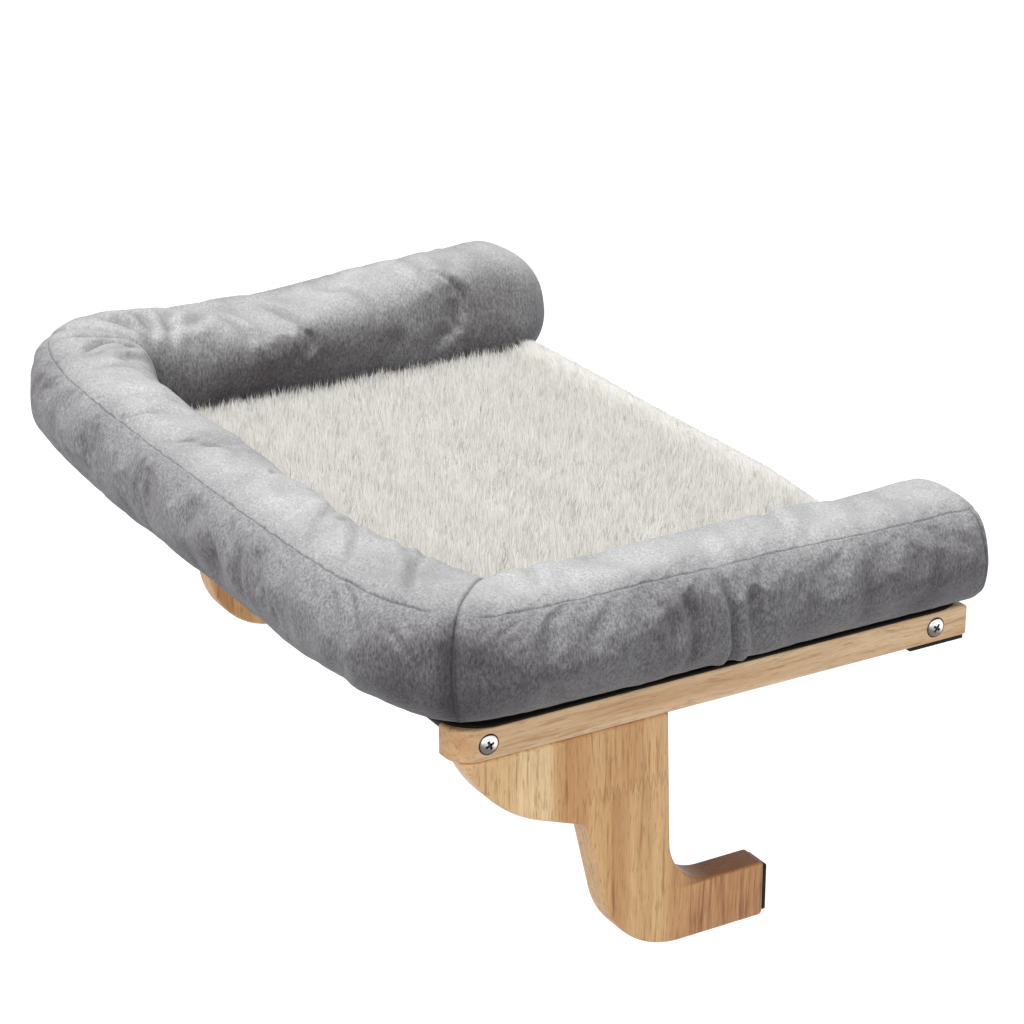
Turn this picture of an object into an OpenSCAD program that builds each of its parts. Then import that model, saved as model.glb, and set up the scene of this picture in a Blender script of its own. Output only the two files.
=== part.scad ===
// Window-sill cat perch: wooden frame on two J brackets, cloth sling and a lift-off bed
// Millimetres, +Z up, +Y towards the window, +X on the right when facing the window
// The origin lies midway between the two sill pads, on the plane of the sill

/* [Side rails] */
// Outside width across the two side rails
frame_w = 550; // [500:1:620]
// Length of a side rail, from its front end to its window end
rail_l = 350; // [335:1:400]
// Height of a side rail
rail_h = 20; // [19:0.5:26]
// Width of a side rail
rail_w = 20; // [18:0.5:26]
// Plan radius of a rail's outer front corner
rail_front_r = 15; // [6:0.5:17]
// Radius that eases the edges of a rail
rail_ease = 2; // [0.6:0.1:3]

/* [J brackets] */
// Thickness of the bracket board
bracket_t = 20; // [17:0.5:24]
// Set-back of the bracket from the rail's front end
bracket_back = 5; // [2:0.5:12]
// Length of the bracket's top edge
bracket_top_l = 133; // [125:1:150]
// Height from the rail down to the underside of the foot
bracket_drop = 150; // [140:1:180]
// Reach from the bracket's front to the end of its foot
bracket_reach = 203; // [190:1:225]
// Height of the foot
foot_h = 36; // [28:1:44]
// Lean of the stem's rear edge between the rail and the foot
stem_lean = 4; // [0:0.5:10]
// Place of the nose corner behind the bracket's front
nose_y = 16; // [12:0.5:24]
// Depth of the nose corner under the rail
nose_drop = 34.5; // [30:0.5:42]
// Place of the neck, where the nose meets the stem
neck_y = 79.5; // [72:0.5:86]
// Depth of the neck under the rail
neck_drop = 57.5; // [50:0.5:66]
// Place of the heel corner, where the stem's front edge meets the underside
heel_y = 101; // [94:0.5:110]
// Radius of the nose curve
nose_r = 85; // [40:1:90]
// Radius in the neck
neck_r = 12; // [5:0.5:16]
// Radius of the heel
heel_r = 54; // [30:1:60]
// Radius in the throat between the stem and the foot
throat_r = 31; // [15:1:40]
// Radius on the corners of the foot's end
toe_r = 3; // [1:0.5:6]

/* [Cross tubes and sling] */
// Outside diameter of a cross tube
tube_d = 16; // [12:0.5:16.5]
// Wall of a cross tube
tube_wall = 1.2; // [0.8:0.1:2]
// Place of the front tube behind the rail's front end
front_tube_y = 20; // [18:0.5:24]
// Place of the rear tube ahead of the rail's window end
rear_tube_back = 23; // [18:0.5:30]
// Length of the threaded plug in each end of a tube
plug_l = 30; // [24:1:40]
// Thickness of the sling cloth
sling_t = 1.2; // [0.6:0.1:1.6]
// Space between the sling's edge and each rail
sling_side_gap = 3; // [1:0.5:10]
// Width of the sewn-down hem beside each tube sleeve
hem_l = 25; // [15:1:40]

/* [Screws, bolts and pads] */
// Thread diameter of the screws and bolts
thread_d = 6; // [5:0.5:6]
// Head diameter of a tube screw
screw_head_d = 12; // [10:0.5:12.5]
// Head height of a tube screw
screw_head_h = 3.4; // [2.5:0.1:4]
// Length of a tube screw under its head
screw_l = 40; // [35:1:44]
// Depth of the round seat that the screw head sits in
screw_seat = 1.8; // [1:0.1:2.4]
// Width of one wing of the cross recess
cross_w = 1.5; // [1:0.1:2]
// Head diameter of a bracket bolt
bolt_head_d = 10; // [9:0.5:11]
// Head height of a bracket bolt
bolt_head_h = 3.4; // [2.5:0.1:4]
// Length of a bracket bolt under its head
bolt_l = 25; // [22:1:28]
// Width across the flats of the bolt's hexagon socket
socket_w = 4; // [3:0.5:5]
// Washer diameter
washer_d = 12; // [11:0.5:12.5]
// Washer thickness
washer_t = 1.2; // [0.8:0.1:1.6]
// Outside diameter of the threaded insert in the bracket
insert_d = 10; // [9:0.5:11]
// Length of the threaded insert
insert_l = 13; // [11:0.5:16]
// Place of the first bolt behind the bracket's front
bolt_y = 35; // [30:1:40]
// Distance between the two bolts of a bracket
bolt_pitch = 78; // [70:1:84]
// Travel of a bracket along its rail
slide_travel = 100; // [60:1:100]
// Length of the rubber pad under the window end of a rail
sill_pad_l = 40; // [30:1:50]
// Thickness of the rubber pads
pad_t = 2; // [1:0.1:3]
// Margin of the rubber pads inside the wood's edges
pad_margin = 0.8; // [0.5:0.1:2]

/* [Bed] */
// Width of the bolster roll
roll_w = 76; // [68:1:84]
// Height of the bolster roll before its underside is flattened
roll_h = 82; // [72:1:90]
// How much the roll's underside is flattened
roll_flat = 4; // [2:0.5:6]
// Distance of a side roll's centre line inside the rail's outer face
roll_inset = 13; // [8:1:18]
// Distance of the front roll's centre line ahead of the rail's front end, in its middle
roll_ahead = 11; // [4:1:14]
// Distance of the same centre line behind the rail's front end, at the mitre seams
roll_corner = 0; // [-8:1:8]
// How far the side rolls reach past the rail's window end
roll_past = 10; // [4:1:16]
// Length over which a side roll's free end is rounded
roll_end_l = 26; // [16:1:34]
// Depth of the sewn seam channel along the roll
seam_depth = 2.4; // [1:0.1:4]
// How much the roll is drawn in beside its mitre seams
draw_in = 4; // [1:0.5:6]
// Rise of the crown at the free end of a side roll
end_crown = 3; // [0:0.5:5]
// Thickness of the mat at its edge
mat_h = 19; // [12:0.5:24]
// Rise of the mat's crown over its edge
mat_crown = 4; // [1:0.5:6]
// Radius of the mat's edge
mat_edge_r = 9; // [5:0.5:9]
// Distance of the mat's soft edge past the rail's window end
mat_past = 6; // [2:0.5:8]
// Thickness of the base cloth under the bed
base_t = 1.5; // [0.8:0.1:2.5]
// Radius of the base cloth's front corners
base_front_r = 62; // [30:1:80]
// Radius of the base cloth's corners at the window side
base_rear_r = 24; // [10:1:40]
// Distance of the base cloth's edge inside the roll's outer side
base_inset = 24; // [16:1:30]

/* [Hidden] */

// Overrun that lets every cut pass clean through a face
over = 0.5;
// Running clearance of the bolts in the rail's slot and of the washers in its groove
slot_clear = 0.4;
// Clearance between a bracket and the rail that it slides on
slide_clear = 0.1;
// Clearance of threads, plugs and inserts in their holes
fit_clear = 0.05;
// Depth of a bolt head below the top of the rail
head_sink = 1.5;
// Clearance under the lift-off bed
bed_clear = 0.3;
// Clearance in a mitre seam and between the mat and the rolls
seam_clear = 0.3;
// Facets of round parts, and degrees between the points of an outline's arcs
round_fn = 48;
arc_step = 7.5;
// Steps of a screw head's dome
dome_steps = 8;
// Points round a roll, and its rings along the front, along a side and over a free end
ring_n = 28;
front_steps = 34;
side_steps = 20;
end_steps = 5;
// Rings across the mat and points along each
mat_steps = 22;
mat_n = 21;

// Height of a head's straight rim and of a bolt's socket floor, as a share of the head
rim_share = 1 / 3;
// Size and floor height of a screw's cross recess, as a share of the head
cross_share = 0.5;
// Angle of the sewn seam above the roll's outer side
seam_angle = 56;
// Exponent of a roll's section, and of its rounder lower outer quarter
roll_square = 2.35;
under_square = 2;
// Share of draw_in by which a roll swells and narrows along its length
swell_share = 0.25;
// Shares by which a stuffed corner falls short of a sharp mitre, widely and at the seam, and their reach
corner_share = 0.17;
notch_share = 0.29;
corner_reach = 45;
notch_reach = 9;
notch_power = 1.5;
// Exponent of the front roll's bow
bow_power = 4.8;
// Share by which the front rings crowd towards the corners, and exponent for those of a side roll
crowd_share = 0.7;
crowd_power = 1.35;
// Exponent of the rounded free end, share of its length that its last ring leaves out, share it closes
end_power = 2.6;
last_share = 0.075;
narrow_share = 0.9;
// Share of the rounded end that the base cloth leaves out
base_end_share = 0.25;
// Exponents of the mat: its sides, its corners and its edge, and the share of its edge radius left out
mat_side_power = 14;
mat_corner_power = 0.45;
mat_edge_power = 0.35;
mat_end_share = 0.125;

steel = [0.78, 0.78, 0.80];
dark_steel = [0.35, 0.35, 0.37];
wood = [0.84, 0.69, 0.51];
black = [0.08, 0.07, 0.07];
plush = [0.58, 0.58, 0.61];
fur = [0.84, 0.83, 0.80];

// Places that several pieces share
rail_x = (frame_w - rail_w) / 2;
rear_tube_y = rail_l - rear_tube_back;
tube_l = frame_w - 2 * rail_w;
plug_d = tube_d - 2 * tube_wall - 2 * fit_clear;
head_seat_x = frame_w / 2 - screw_seat;
slot_w = thread_d + 2 * slot_clear;
groove_w = washer_d + 2 * slot_clear;
groove_depth = washer_t + bolt_head_h + head_sink;
groove_z = rail_h - groove_depth;
first_bolt_y = bracket_back + bolt_y;
foot_end_y = bracket_back + bracket_reach;
sill_pad_y = rail_l - pad_margin - sill_pad_l;
sling_top = rail_h / 2 + tube_d / 2 + fit_clear + sling_t;
bed_z = max(rail_h, sling_top) + bed_clear;
base_top = bed_z + base_t;
roll_x = frame_w / 2 - roll_inset;
roll_end_y = rail_l + roll_past;
roll_z = base_top + roll_h / 2 - roll_flat;

// Puts the model's origin midway between the sill pads, on the sill
module seated() {
    translate([0, -(sill_pad_y + sill_pad_l / 2), pad_t])
        children();
}

// Repeats a right-hand piece on the left
module mirrored(side) {
    if (side > 0) children();
    else mirror([1, 0, 0]) children();
}

// Unit vector and length helpers for outlines
function unit(v) = v / norm(v);
function turn(v, a) = [v[0] * cos(a) - v[1] * sin(a), v[0] * sin(a) + v[1] * cos(a)];
function cross2(a, b) = a[0] * b[1] - a[1] * b[0];

// Outline with each corner [y, z, radius] rounded by an arc
// A radius is limited by its share of the two sides that it joins
function side_share(own, other) = own <= 0 ? 0 : own / (own + other);
function corner_arc(before, at, after) =
    let (p = [at[0], at[1]],
         in_v = [before[0], before[1]] - p,
         out_v = [after[0], after[1]] - p,
         bend = 180 - acos(unit(in_v) * unit(out_v)),
         want = at[2] * tan(bend / 2),
         room = min(norm(in_v) * side_share(at[2], before[2]), norm(out_v) * side_share(at[2], after[2])),
         run = min(want, room),
         r = run / tan(bend / 2),
         hand = sign(cross2(-in_v, out_v)),
         start = p + unit(in_v) * run,
         centre = start + turn(unit(-in_v), 90 * hand) * r,
         steps = max(2, ceil(bend / arc_step)))
    at[2] <= 0 ? [p] : [for (i = [0:steps]) centre + turn(start - centre, hand * bend * i / steps)];
function rounded(corners) =
    let (n = len(corners))
    [for (i = [0:n - 1]) each corner_arc(corners[(i + n - 1) % n], corners[i], corners[(i + 1) % n])];

// Closed solid through a stack of rings that all have the same number of points
module skinned(rings) {
    n = len(rings[0]);
    k = len(rings);
    walls = [for (j = [0:k - 2], i = [0:n - 1])
        each [[j * n + i, j * n + (i + 1) % n, (j + 1) * n + (i + 1) % n],
              [j * n + i, (j + 1) * n + (i + 1) % n, (j + 1) * n + i]]];
    first_cap = [for (i = [n - 1:-1:0]) i];
    last_cap = [for (i = [0:n - 1]) (k - 1) * n + i];
    polyhedron(points = [for (r = rings) each r], faces = concat([first_cap], walls, [last_cap]));
}

// Board with its four edges along one axis rounded, standing on z = 0 with a corner at the origin
module round_bar(a, b, h, r) {
    translate([r, 0, 0])
        cube([a - 2 * r, b, h]);
    translate([0, r, 0])
        cube([a, b - 2 * r, h]);
    for (x = [r, a - r], y = [r, b - r])
        translate([x, y, 0])
            cylinder(h = h, r = r, $fn = round_fn);
}

// Disc standing on z = 0 whose two rims are rounded
module eased_disc(r, h, ease) {
    cylinder(h = h, r = r - ease, $fn = round_fn);
    translate([0, 0, ease])
        cylinder(h = h - 2 * ease, r = r, $fn = round_fn);
    for (z = [ease, h - ease])
        translate([0, 0, z])
            rotate_extrude($fn = round_fn)
                translate([r - ease, 0])
                    circle(r = ease, $fn = round_fn);
}

// Long hole with round ends, centred on x, running from y0 to y1
module long_hole(w, y0, y1, z0, z1) {
    translate([-w / 2, y0, z0])
        cube([w, y1 - y0, z1 - z0]);
    for (y = [y0, y1])
        translate([0, y, z0])
            cylinder(h = z1 - z0, d = w, $fn = round_fn);
}

// Side rail: eased bar, round outer front corner, long slot with a groove for the bolt heads
module rail_solid() {
    last_bolt_y = first_bolt_y + bolt_pitch + slide_travel;
    difference() {
        intersection() {
            translate([frame_w / 2 - rail_w, 0, 0]) {
                translate([0, rail_front_r, 0])
                    cube([rail_w, rail_l - rail_front_r, rail_h]);
                cube([rail_w - rail_front_r, rail_l, rail_h]);
                translate([rail_w - rail_front_r, rail_front_r, 0])
                    eased_disc(rail_front_r, rail_h, rail_ease);
            }
            translate([frame_w / 2 - rail_w, rail_l, 0])
                rotate([90, 0, 0])
                    round_bar(rail_w, rail_h, rail_l, rail_ease);
            translate([frame_w / 2 - rail_w, 0, 0])
                rotate([90, 0, 90])
                    round_bar(rail_l, rail_h, rail_w, rail_ease);
        }
        translate([rail_x, 0, 0]) {
            long_hole(slot_w, first_bolt_y, last_bolt_y, -over, rail_h);
            long_hole(groove_w, first_bolt_y, last_bolt_y, groove_z, rail_h + over);
        }
        for (y = [front_tube_y, rear_tube_y])
            translate([frame_w / 2 - rail_w - over, y, rail_h / 2])
                rotate([0, 90, 0]) {
                    cylinder(h = rail_w + 2 * over, d = thread_d + 2 * fit_clear, $fn = round_fn);
                    translate([0, 0, rail_w + over - screw_seat])
                        cylinder(h = screw_seat + over, d = screw_head_d + 2 * slot_clear, $fn = round_fn);
                }
    }
}

// Cross tube that spreads the rails and carries one end of the sling
module cross_tube(y) {
    translate([-tube_l / 2, y, rail_h / 2])
        rotate([0, 90, 0])
            difference() {
                cylinder(h = tube_l, d = tube_d, $fn = round_fn);
                translate([0, 0, -over])
                    cylinder(h = tube_l + 2 * over, d = tube_d - 2 * tube_wall, $fn = round_fn);
            }
}

// Threaded plug in the end of a tube
module tube_plug(side, y) {
    mirrored(side)
        translate([tube_l / 2 - plug_l, y, rail_h / 2])
            rotate([0, 90, 0])
                difference() {
                    cylinder(h = plug_l, d = plug_d, $fn = round_fn);
                    translate([0, 0, -over])
                        cylinder(h = plug_l + 2 * over, d = thread_d + 2 * fit_clear, $fn = round_fn);
                }
}

// Half section of a domed head on its shank, drawn along the screw's axis
function headed(head_d, head_h, shank_l) =
    let (rim = head_h * rim_share, crown = head_h - rim, step = 90 / dome_steps)
    concat([[0, -shank_l], [thread_d / 2, -shank_l], [thread_d / 2, 0], [head_d / 2, 0]],
           [for (i = [0:dome_steps]) [head_d / 2 * cos(step * i), rim + crown * sin(step * i)]]);

// Pan-head screw with a cross recess, head outwards on +X
module tube_screw(side, y) {
    wing_l = screw_head_d * cross_share;
    mirrored(side)
        translate([head_seat_x, y, rail_h / 2])
            rotate([0, 90, 0])
                difference() {
                    rotate_extrude($fn = round_fn)
                        polygon(headed(screw_head_d, screw_head_h, screw_l));
                    for (a = [0, 90])
                        rotate([0, 0, a])
                            translate([-wing_l / 2, -cross_w / 2, screw_head_h * cross_share])
                                cube([wing_l, cross_w, screw_head_h]);
                }
}

// Sling cloth: one sheet with a sleeve round each tube and a sewn-down hem
module sling_cloth() {
    r = tube_d / 2 + fit_clear;
    span_w = tube_l - 2 * sling_side_gap;
    translate([-span_w / 2, 0, 0])
        rotate([90, 0, 90])
            linear_extrude(height = span_w)
                difference() {
                    union() {
                        translate([front_tube_y, rail_h / 2 + r])
                            square([rear_tube_y - front_tube_y, sling_t]);
                        for (y = [front_tube_y, rear_tube_y])
                            translate([y, rail_h / 2])
                                circle(r = r + sling_t, $fn = round_fn);
                        translate([front_tube_y, rail_h / 2 + r - sling_t])
                            square([r + hem_l, sling_t]);
                        translate([rear_tube_y - r - hem_l, rail_h / 2 + r - sling_t])
                            square([r + hem_l, sling_t]);
                    }
                    for (y = [front_tube_y, rear_tube_y])
                        translate([y, rail_h / 2])
                            circle(r = r, $fn = round_fn);
                }
}

// Outline of the J bracket, from its front top corner along the nose, stem, heel, foot and throat
function bracket_outline() =
    rounded([[0, 0, 0],
             [nose_y, -nose_drop, nose_r],
             [neck_y, -neck_drop, neck_r],
             [heel_y, -bracket_drop, heel_r],
             [bracket_reach, -bracket_drop, toe_r],
             [bracket_reach, -bracket_drop + foot_h, toe_r],
             [bracket_top_l + stem_lean, -bracket_drop + foot_h, throat_r],
             [bracket_top_l, 0, 0]]);

// J bracket: a board cut to the outline, bored from its top edge for the inserts and bolts
module bracket_solid() {
    difference() {
        translate([rail_x - bracket_t / 2, bracket_back, -slide_clear])
            rotate([90, 0, 90])
                linear_extrude(height = bracket_t)
                    polygon(bracket_outline());
        for (y = [first_bolt_y, first_bolt_y + bolt_pitch])
            translate([rail_x, y, -slide_clear - insert_l - fit_clear]) {
                cylinder(h = insert_l + fit_clear + over, d = insert_d + 2 * fit_clear, $fn = round_fn);
                translate([0, 0, insert_l - bolt_l])
                    cylinder(h = bolt_l, d = thread_d + 2 * slot_clear, $fn = round_fn);
            }
    }
}

// Bolts that clamp a bracket to its rail through the slot
module bracket_bolts() {
    for (y = [first_bolt_y, first_bolt_y + bolt_pitch])
        translate([rail_x, y, groove_z + washer_t])
            difference() {
                rotate_extrude($fn = round_fn)
                    polygon(headed(bolt_head_d, bolt_head_h, bolt_l));
                translate([0, 0, bolt_head_h * rim_share])
                    cylinder(h = bolt_head_h, d = socket_w / cos(30), $fn = 6);
            }
}

// Washers between the bolt heads and the floor of the groove
module bracket_washers() {
    for (y = [first_bolt_y, first_bolt_y + bolt_pitch])
        translate([rail_x, y, groove_z])
            difference() {
                cylinder(h = washer_t, d = washer_d, $fn = round_fn);
                translate([0, 0, -over])
                    cylinder(h = washer_t + 2 * over, d = thread_d + 2 * fit_clear, $fn = round_fn);
            }
}

// Threaded inserts let into the bracket's top edge
module bracket_inserts() {
    for (y = [first_bolt_y, first_bolt_y + bolt_pitch])
        translate([rail_x, y, -slide_clear - insert_l])
            difference() {
                cylinder(h = insert_l, d = insert_d, $fn = round_fn);
                translate([0, 0, -over])
                    cylinder(h = insert_l + 2 * over, d = thread_d + 2 * fit_clear, $fn = round_fn);
            }
}

// Rubber pad under the window end of a rail
module sill_pad() {
    translate([rail_x - rail_w / 2 + pad_margin, sill_pad_y, -pad_t])
        round_bar(rail_w - 2 * pad_margin, sill_pad_l, pad_t, pad_margin);
}

// Rubber pad on the end of a bracket's foot
module foot_pad() {
    translate([rail_x - bracket_t / 2 + pad_margin, foot_end_y + pad_t, -bracket_drop + toe_r - slide_clear])
        rotate([90, 0, 0])
            round_bar(bracket_t - 2 * pad_margin, foot_h - 2 * toe_r, pad_t, pad_margin);
}

// Base cloth that closes the bed's underside
module base_cloth() {
    half_w = roll_x + roll_w / 2 - base_inset;
    y0 = base_inset - roll_ahead - roll_w / 2;
    y1 = roll_end_y - roll_end_l * base_end_share;
    translate([0, 0, bed_z])
        linear_extrude(height = base_t)
            polygon(rounded([[-half_w, y0, base_front_r], [half_w, y0, base_front_r],
                             [half_w, y1, base_rear_r], [-half_w, y1, base_rear_r]]));
}

// Section of a bolster roll: [outward, up] for point i of a ring at distance d from its mitre seam
// A soft super-ellipse with a flat underside, and one point of it sewn in at the seam
function soft(c, square) = sign(c) * pow(abs(c), 2 / square);
function roll_point(i, d, rise) =
    let (a = seam_angle + 360 * i / ring_n,
         square = sin(a) < 0 && cos(a) > 0 ? under_square : roll_square,
         size = plump(d) - (i == 0 ? seam_depth : 0),
         side = (roll_w / 2 + size) * soft(cos(a), square),
         up = (roll_h / 2 + size) * soft(sin(a), square))
    [side > 0 ? side * corner_left(d) : side,
     max(up > 0 ? up * (1 + rise / roll_h * 2) : up, roll_flat - roll_h / 2)];

// How far a roll is drawn in at a distance from its mitre seam, with a slow swell along it
function plump(d) = draw_in * (swell_share * cos(180 * d / roll_w) - exp(-pow(d / roll_w * 2, 2)));

// Share of the roll's outward side that is left at that distance
function corner_left(d) =
    1 - corner_share * exp(-pow(d / corner_reach, 2)) - notch_share * exp(-pow(d / notch_reach, notch_power));

// Centre line of the front roll at share s of its half length: it bows ahead in its middle
function front_y(s) = -roll_ahead + (roll_ahead + roll_corner) * pow(abs(s), bow_power);

// Front roll: rings fan from one mitre plane to the other
module front_roll() {
    skinned([for (k = [0:front_steps])
        let (even = -1 + 2 * k / front_steps,
             s = crowd_share * sin(90 * even) + (1 - crowd_share) * even)
        [for (i = [0:ring_n - 1])
            let (p = roll_point(i, (1 - abs(s)) * roll_x, 0))
            [s * (roll_x + p[0] - seam_clear / 2), front_y(s) - p[0], roll_z + p[1]]]]);
}

// Side roll: from the mitre plane to a rounded free end
module side_roll() {
    body_l = roll_end_y - roll_end_l - roll_corner;
    skinned([for (k = [0:side_steps + end_steps])
        let (t = pow(min(k / side_steps, 1), crowd_power),
             e = max(k - side_steps, 0) / end_steps * (1 - last_share),
             close = pow(1 - pow(e, end_power), 1 / end_power),
             rise = end_crown * pow(t, 3))
        [for (i = [0:ring_n - 1])
            let (p = roll_point(i, t * body_l, rise),
                 y_start = roll_corner - p[0] + seam_clear / 2,
                 y_end = roll_corner + body_l)
            [roll_x + p[0] * (1 - (1 - close) * narrow_share),
             y_start + (y_end - y_start) * t + e * roll_end_l,
             roll_z + max(p[1] * close, roll_flat - roll_h / 2)]]]);
}

// Mat: crowned pad with soft edges that fills the bed between the rolls
// Its front edge follows the front roll's bow
module mat_pad() {
    half_w = roll_x - roll_w / 2 + seam_clear;
    y1 = rail_l + mat_past;
    skinned([for (k = [0:mat_steps])
        let (s = -cos(180 * k / mat_steps) * (1 - mat_edge_r / half_w * mat_end_share),
             y0 = front_y(s) + roll_w / 2 - seam_clear,
             half_l = (y1 - y0) / 2,
             edge = sqrt(1 - pow(abs(s), mat_side_power)),
             crown = mat_crown * (1 - s * s))
        [for (i = [0:mat_n])
            let (a = 180 * (mat_n - i) / mat_n,
                 u = sign(cos(a)) * pow(abs(cos(a)), mat_corner_power),
                 h = (mat_h + crown * (1 - u * u)) * edge)
            [s * half_w, y0 + half_l + u * (half_l - mat_edge_r * (1 - edge)),
             base_top + h * pow(max(sin(a), 0), mat_edge_power)]]]);
}

module right_rail() { color(wood) seated() rail_solid(); }
module left_rail() { color(wood) seated() mirrored(-1) rail_solid(); }
module front_tube() { color(steel) seated() cross_tube(front_tube_y); }
module rear_tube() { color(steel) seated() cross_tube(rear_tube_y); }
module tube_plugs() {
    color(dark_steel) seated()
        for (side = [-1, 1], y = [front_tube_y, rear_tube_y])
            tube_plug(side, y);
}
module tube_screws() {
    color(steel) seated()
        for (side = [-1, 1], y = [front_tube_y, rear_tube_y])
            tube_screw(side, y);
}
module sling() { color(black) seated() sling_cloth(); }
module right_bracket() { color(wood) seated() bracket_solid(); }
module left_bracket() { color(wood) seated() mirrored(-1) bracket_solid(); }
module right_bracket_bolts() { color(steel) seated() bracket_bolts(); }
module left_bracket_bolts() { color(steel) seated() mirrored(-1) bracket_bolts(); }
module right_bracket_washers() { color(steel) seated() bracket_washers(); }
module left_bracket_washers() { color(steel) seated() mirrored(-1) bracket_washers(); }
module right_bracket_inserts() { color(dark_steel) seated() bracket_inserts(); }
module left_bracket_inserts() { color(dark_steel) seated() mirrored(-1) bracket_inserts(); }
module right_sill_pad() { color(black) seated() sill_pad(); }
module left_sill_pad() { color(black) seated() mirrored(-1) sill_pad(); }
module right_foot_pad() { color(black) seated() foot_pad(); }
module left_foot_pad() { color(black) seated() mirrored(-1) foot_pad(); }
module bed_base() { color(black) seated() base_cloth(); }
module front_bolster() { color(plush) seated() front_roll(); }
module right_bolster() { color(plush) seated() side_roll(); }
module left_bolster() { color(plush) seated() mirrored(-1) side_roll(); }
module mat() { color(fur) seated() mat_pad(); }

right_rail();
left_rail();
front_tube();
rear_tube();
tube_plugs();
tube_screws();
sling();
right_bracket();
left_bracket();
right_bracket_bolts();
left_bracket_bolts();
right_bracket_washers();
left_bracket_washers();
right_bracket_inserts();
left_bracket_inserts();
right_sill_pad();
left_sill_pad();
right_foot_pad();
left_foot_pad();
bed_base();
front_bolster();
right_bolster();
left_bolster();
mat();
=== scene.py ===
import math

import bpy
import numpy as np
from mathutils import Matrix, Vector
from mathutils.geometry import delaunay_2d_cdt


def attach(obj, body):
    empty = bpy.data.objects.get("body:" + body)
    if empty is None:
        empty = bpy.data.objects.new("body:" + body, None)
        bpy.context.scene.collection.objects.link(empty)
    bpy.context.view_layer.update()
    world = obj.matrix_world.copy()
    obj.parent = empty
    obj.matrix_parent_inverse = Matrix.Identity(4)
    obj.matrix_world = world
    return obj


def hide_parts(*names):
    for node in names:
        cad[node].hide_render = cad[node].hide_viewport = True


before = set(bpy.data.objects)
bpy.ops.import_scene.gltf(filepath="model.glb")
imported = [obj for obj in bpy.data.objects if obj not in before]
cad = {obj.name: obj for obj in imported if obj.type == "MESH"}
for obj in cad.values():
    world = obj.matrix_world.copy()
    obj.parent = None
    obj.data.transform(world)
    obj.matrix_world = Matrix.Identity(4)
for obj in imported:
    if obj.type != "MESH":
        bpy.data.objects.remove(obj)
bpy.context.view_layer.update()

# ---------------------------------------------------------------------------
# Viewpoint: the perch is seen from its right front corner and a little above,
# through a long lens, so that the near rail and bracket show their outer face.
camera_place = (1.4859, -1.00906, 0.70662)
camera_right = (0.50818, 0.86125, 0.0)
camera_up = (-0.31936, 0.18844, 0.92871)
camera_back = (0.79985, -0.47195, 0.37081)
camera_lens, sensor_width = 100.6, 36.0


def stand(name, data):
    """Puts a new object with this data into the scene."""
    made = bpy.data.objects.new(name, data)
    bpy.context.scene.collection.objects.link(made)
    return made


camera_data = bpy.data.cameras.new("camera")
camera_data.sensor_fit = "HORIZONTAL"
camera_data.sensor_width = sensor_width
camera_data.lens = camera_lens
camera = stand("camera", camera_data)
turned = Matrix((camera_right, camera_up, camera_back)).transposed()
camera.matrix_world = Matrix.Translation(camera_place) @ turned.to_4x4()
bpy.context.scene.camera = camera
bpy.context.scene.view_settings.view_transform = "Standard"

# ---------------------------------------------------------------------------
# Studio: an even pale surround, a broad soft light overhead and in front, a
# weak one from the viewer's side, and a pale floor far below the sill.
world_level = 0.52
overhead_level, overhead_spread = 0.62, 38
overhead_turn = (math.radians(27), 0.0, math.radians(-8))
viewer_level, viewer_spread = 0.24, 60
viewer_turn = Vector(camera_back).to_track_quat("Z", "Y").to_euler()
floor_z, floor_half = -0.62, 7.0
white = (1.0, 1.0, 1.0, 1)


def node(tree, kind, inputs=None, **settings):
    """Adds a node; an input given as a socket is linked, any other is a plain value."""
    made = tree.nodes.new(kind)
    for name, value in settings.items():
        setattr(made, name, value)
    for name, value in (inputs or {}).items():
        if isinstance(value, bpy.types.NodeSocket):
            tree.links.new(value, made.inputs[name])
        else:
            made.inputs[name].default_value = value
    return made


def sums(tree, kind, a, b=0.0):
    """One Math node on two values or sockets."""
    return node(tree, "ShaderNodeMath", {0: a, 1: b}, operation=kind).outputs[0]


def shown_as(tree, output, lit, direct):
    """Gives the second shader to camera, glossy and transmission rays and the first to the rest."""
    path = node(tree, "ShaderNodeLightPath").outputs
    eye = sums(tree, "MAXIMUM", path["Is Camera Ray"], path["Is Glossy Ray"])
    eye = sums(tree, "MAXIMUM", eye, path["Is Transmission Ray"])
    mixed = node(tree, "ShaderNodeMixShader", {0: eye, 1: lit.outputs[0], 2: direct.outputs[0]})
    node(tree, output, {"Surface": mixed.outputs[0]})


def sun(name, level, turn, spread):
    """A soft distant lamp; level 1 lights a facing surface to its own colour."""
    lamp = bpy.data.lights.new(name, "SUN")
    lamp.energy = math.pi * level
    lamp.angle = math.radians(spread)
    stand(name, lamp).rotation_euler = turn


world = bpy.data.worlds.new("surround")
floor_paint = bpy.data.materials.new("floor_paint")
for owner in (world, floor_paint):
    owner.use_nodes = True
    owner.node_tree.nodes.clear()

tree = world.node_tree
shown_as(tree, "ShaderNodeOutputWorld",
         node(tree, "ShaderNodeBackground", {"Color": white, "Strength": world_level}),
         node(tree, "ShaderNodeBackground", {"Color": white, "Strength": 1.0}))
bpy.context.scene.world = world
sun("overhead_light", overhead_level, overhead_turn, overhead_spread)
sun("viewer_light", viewer_level, viewer_turn, viewer_spread)

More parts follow.
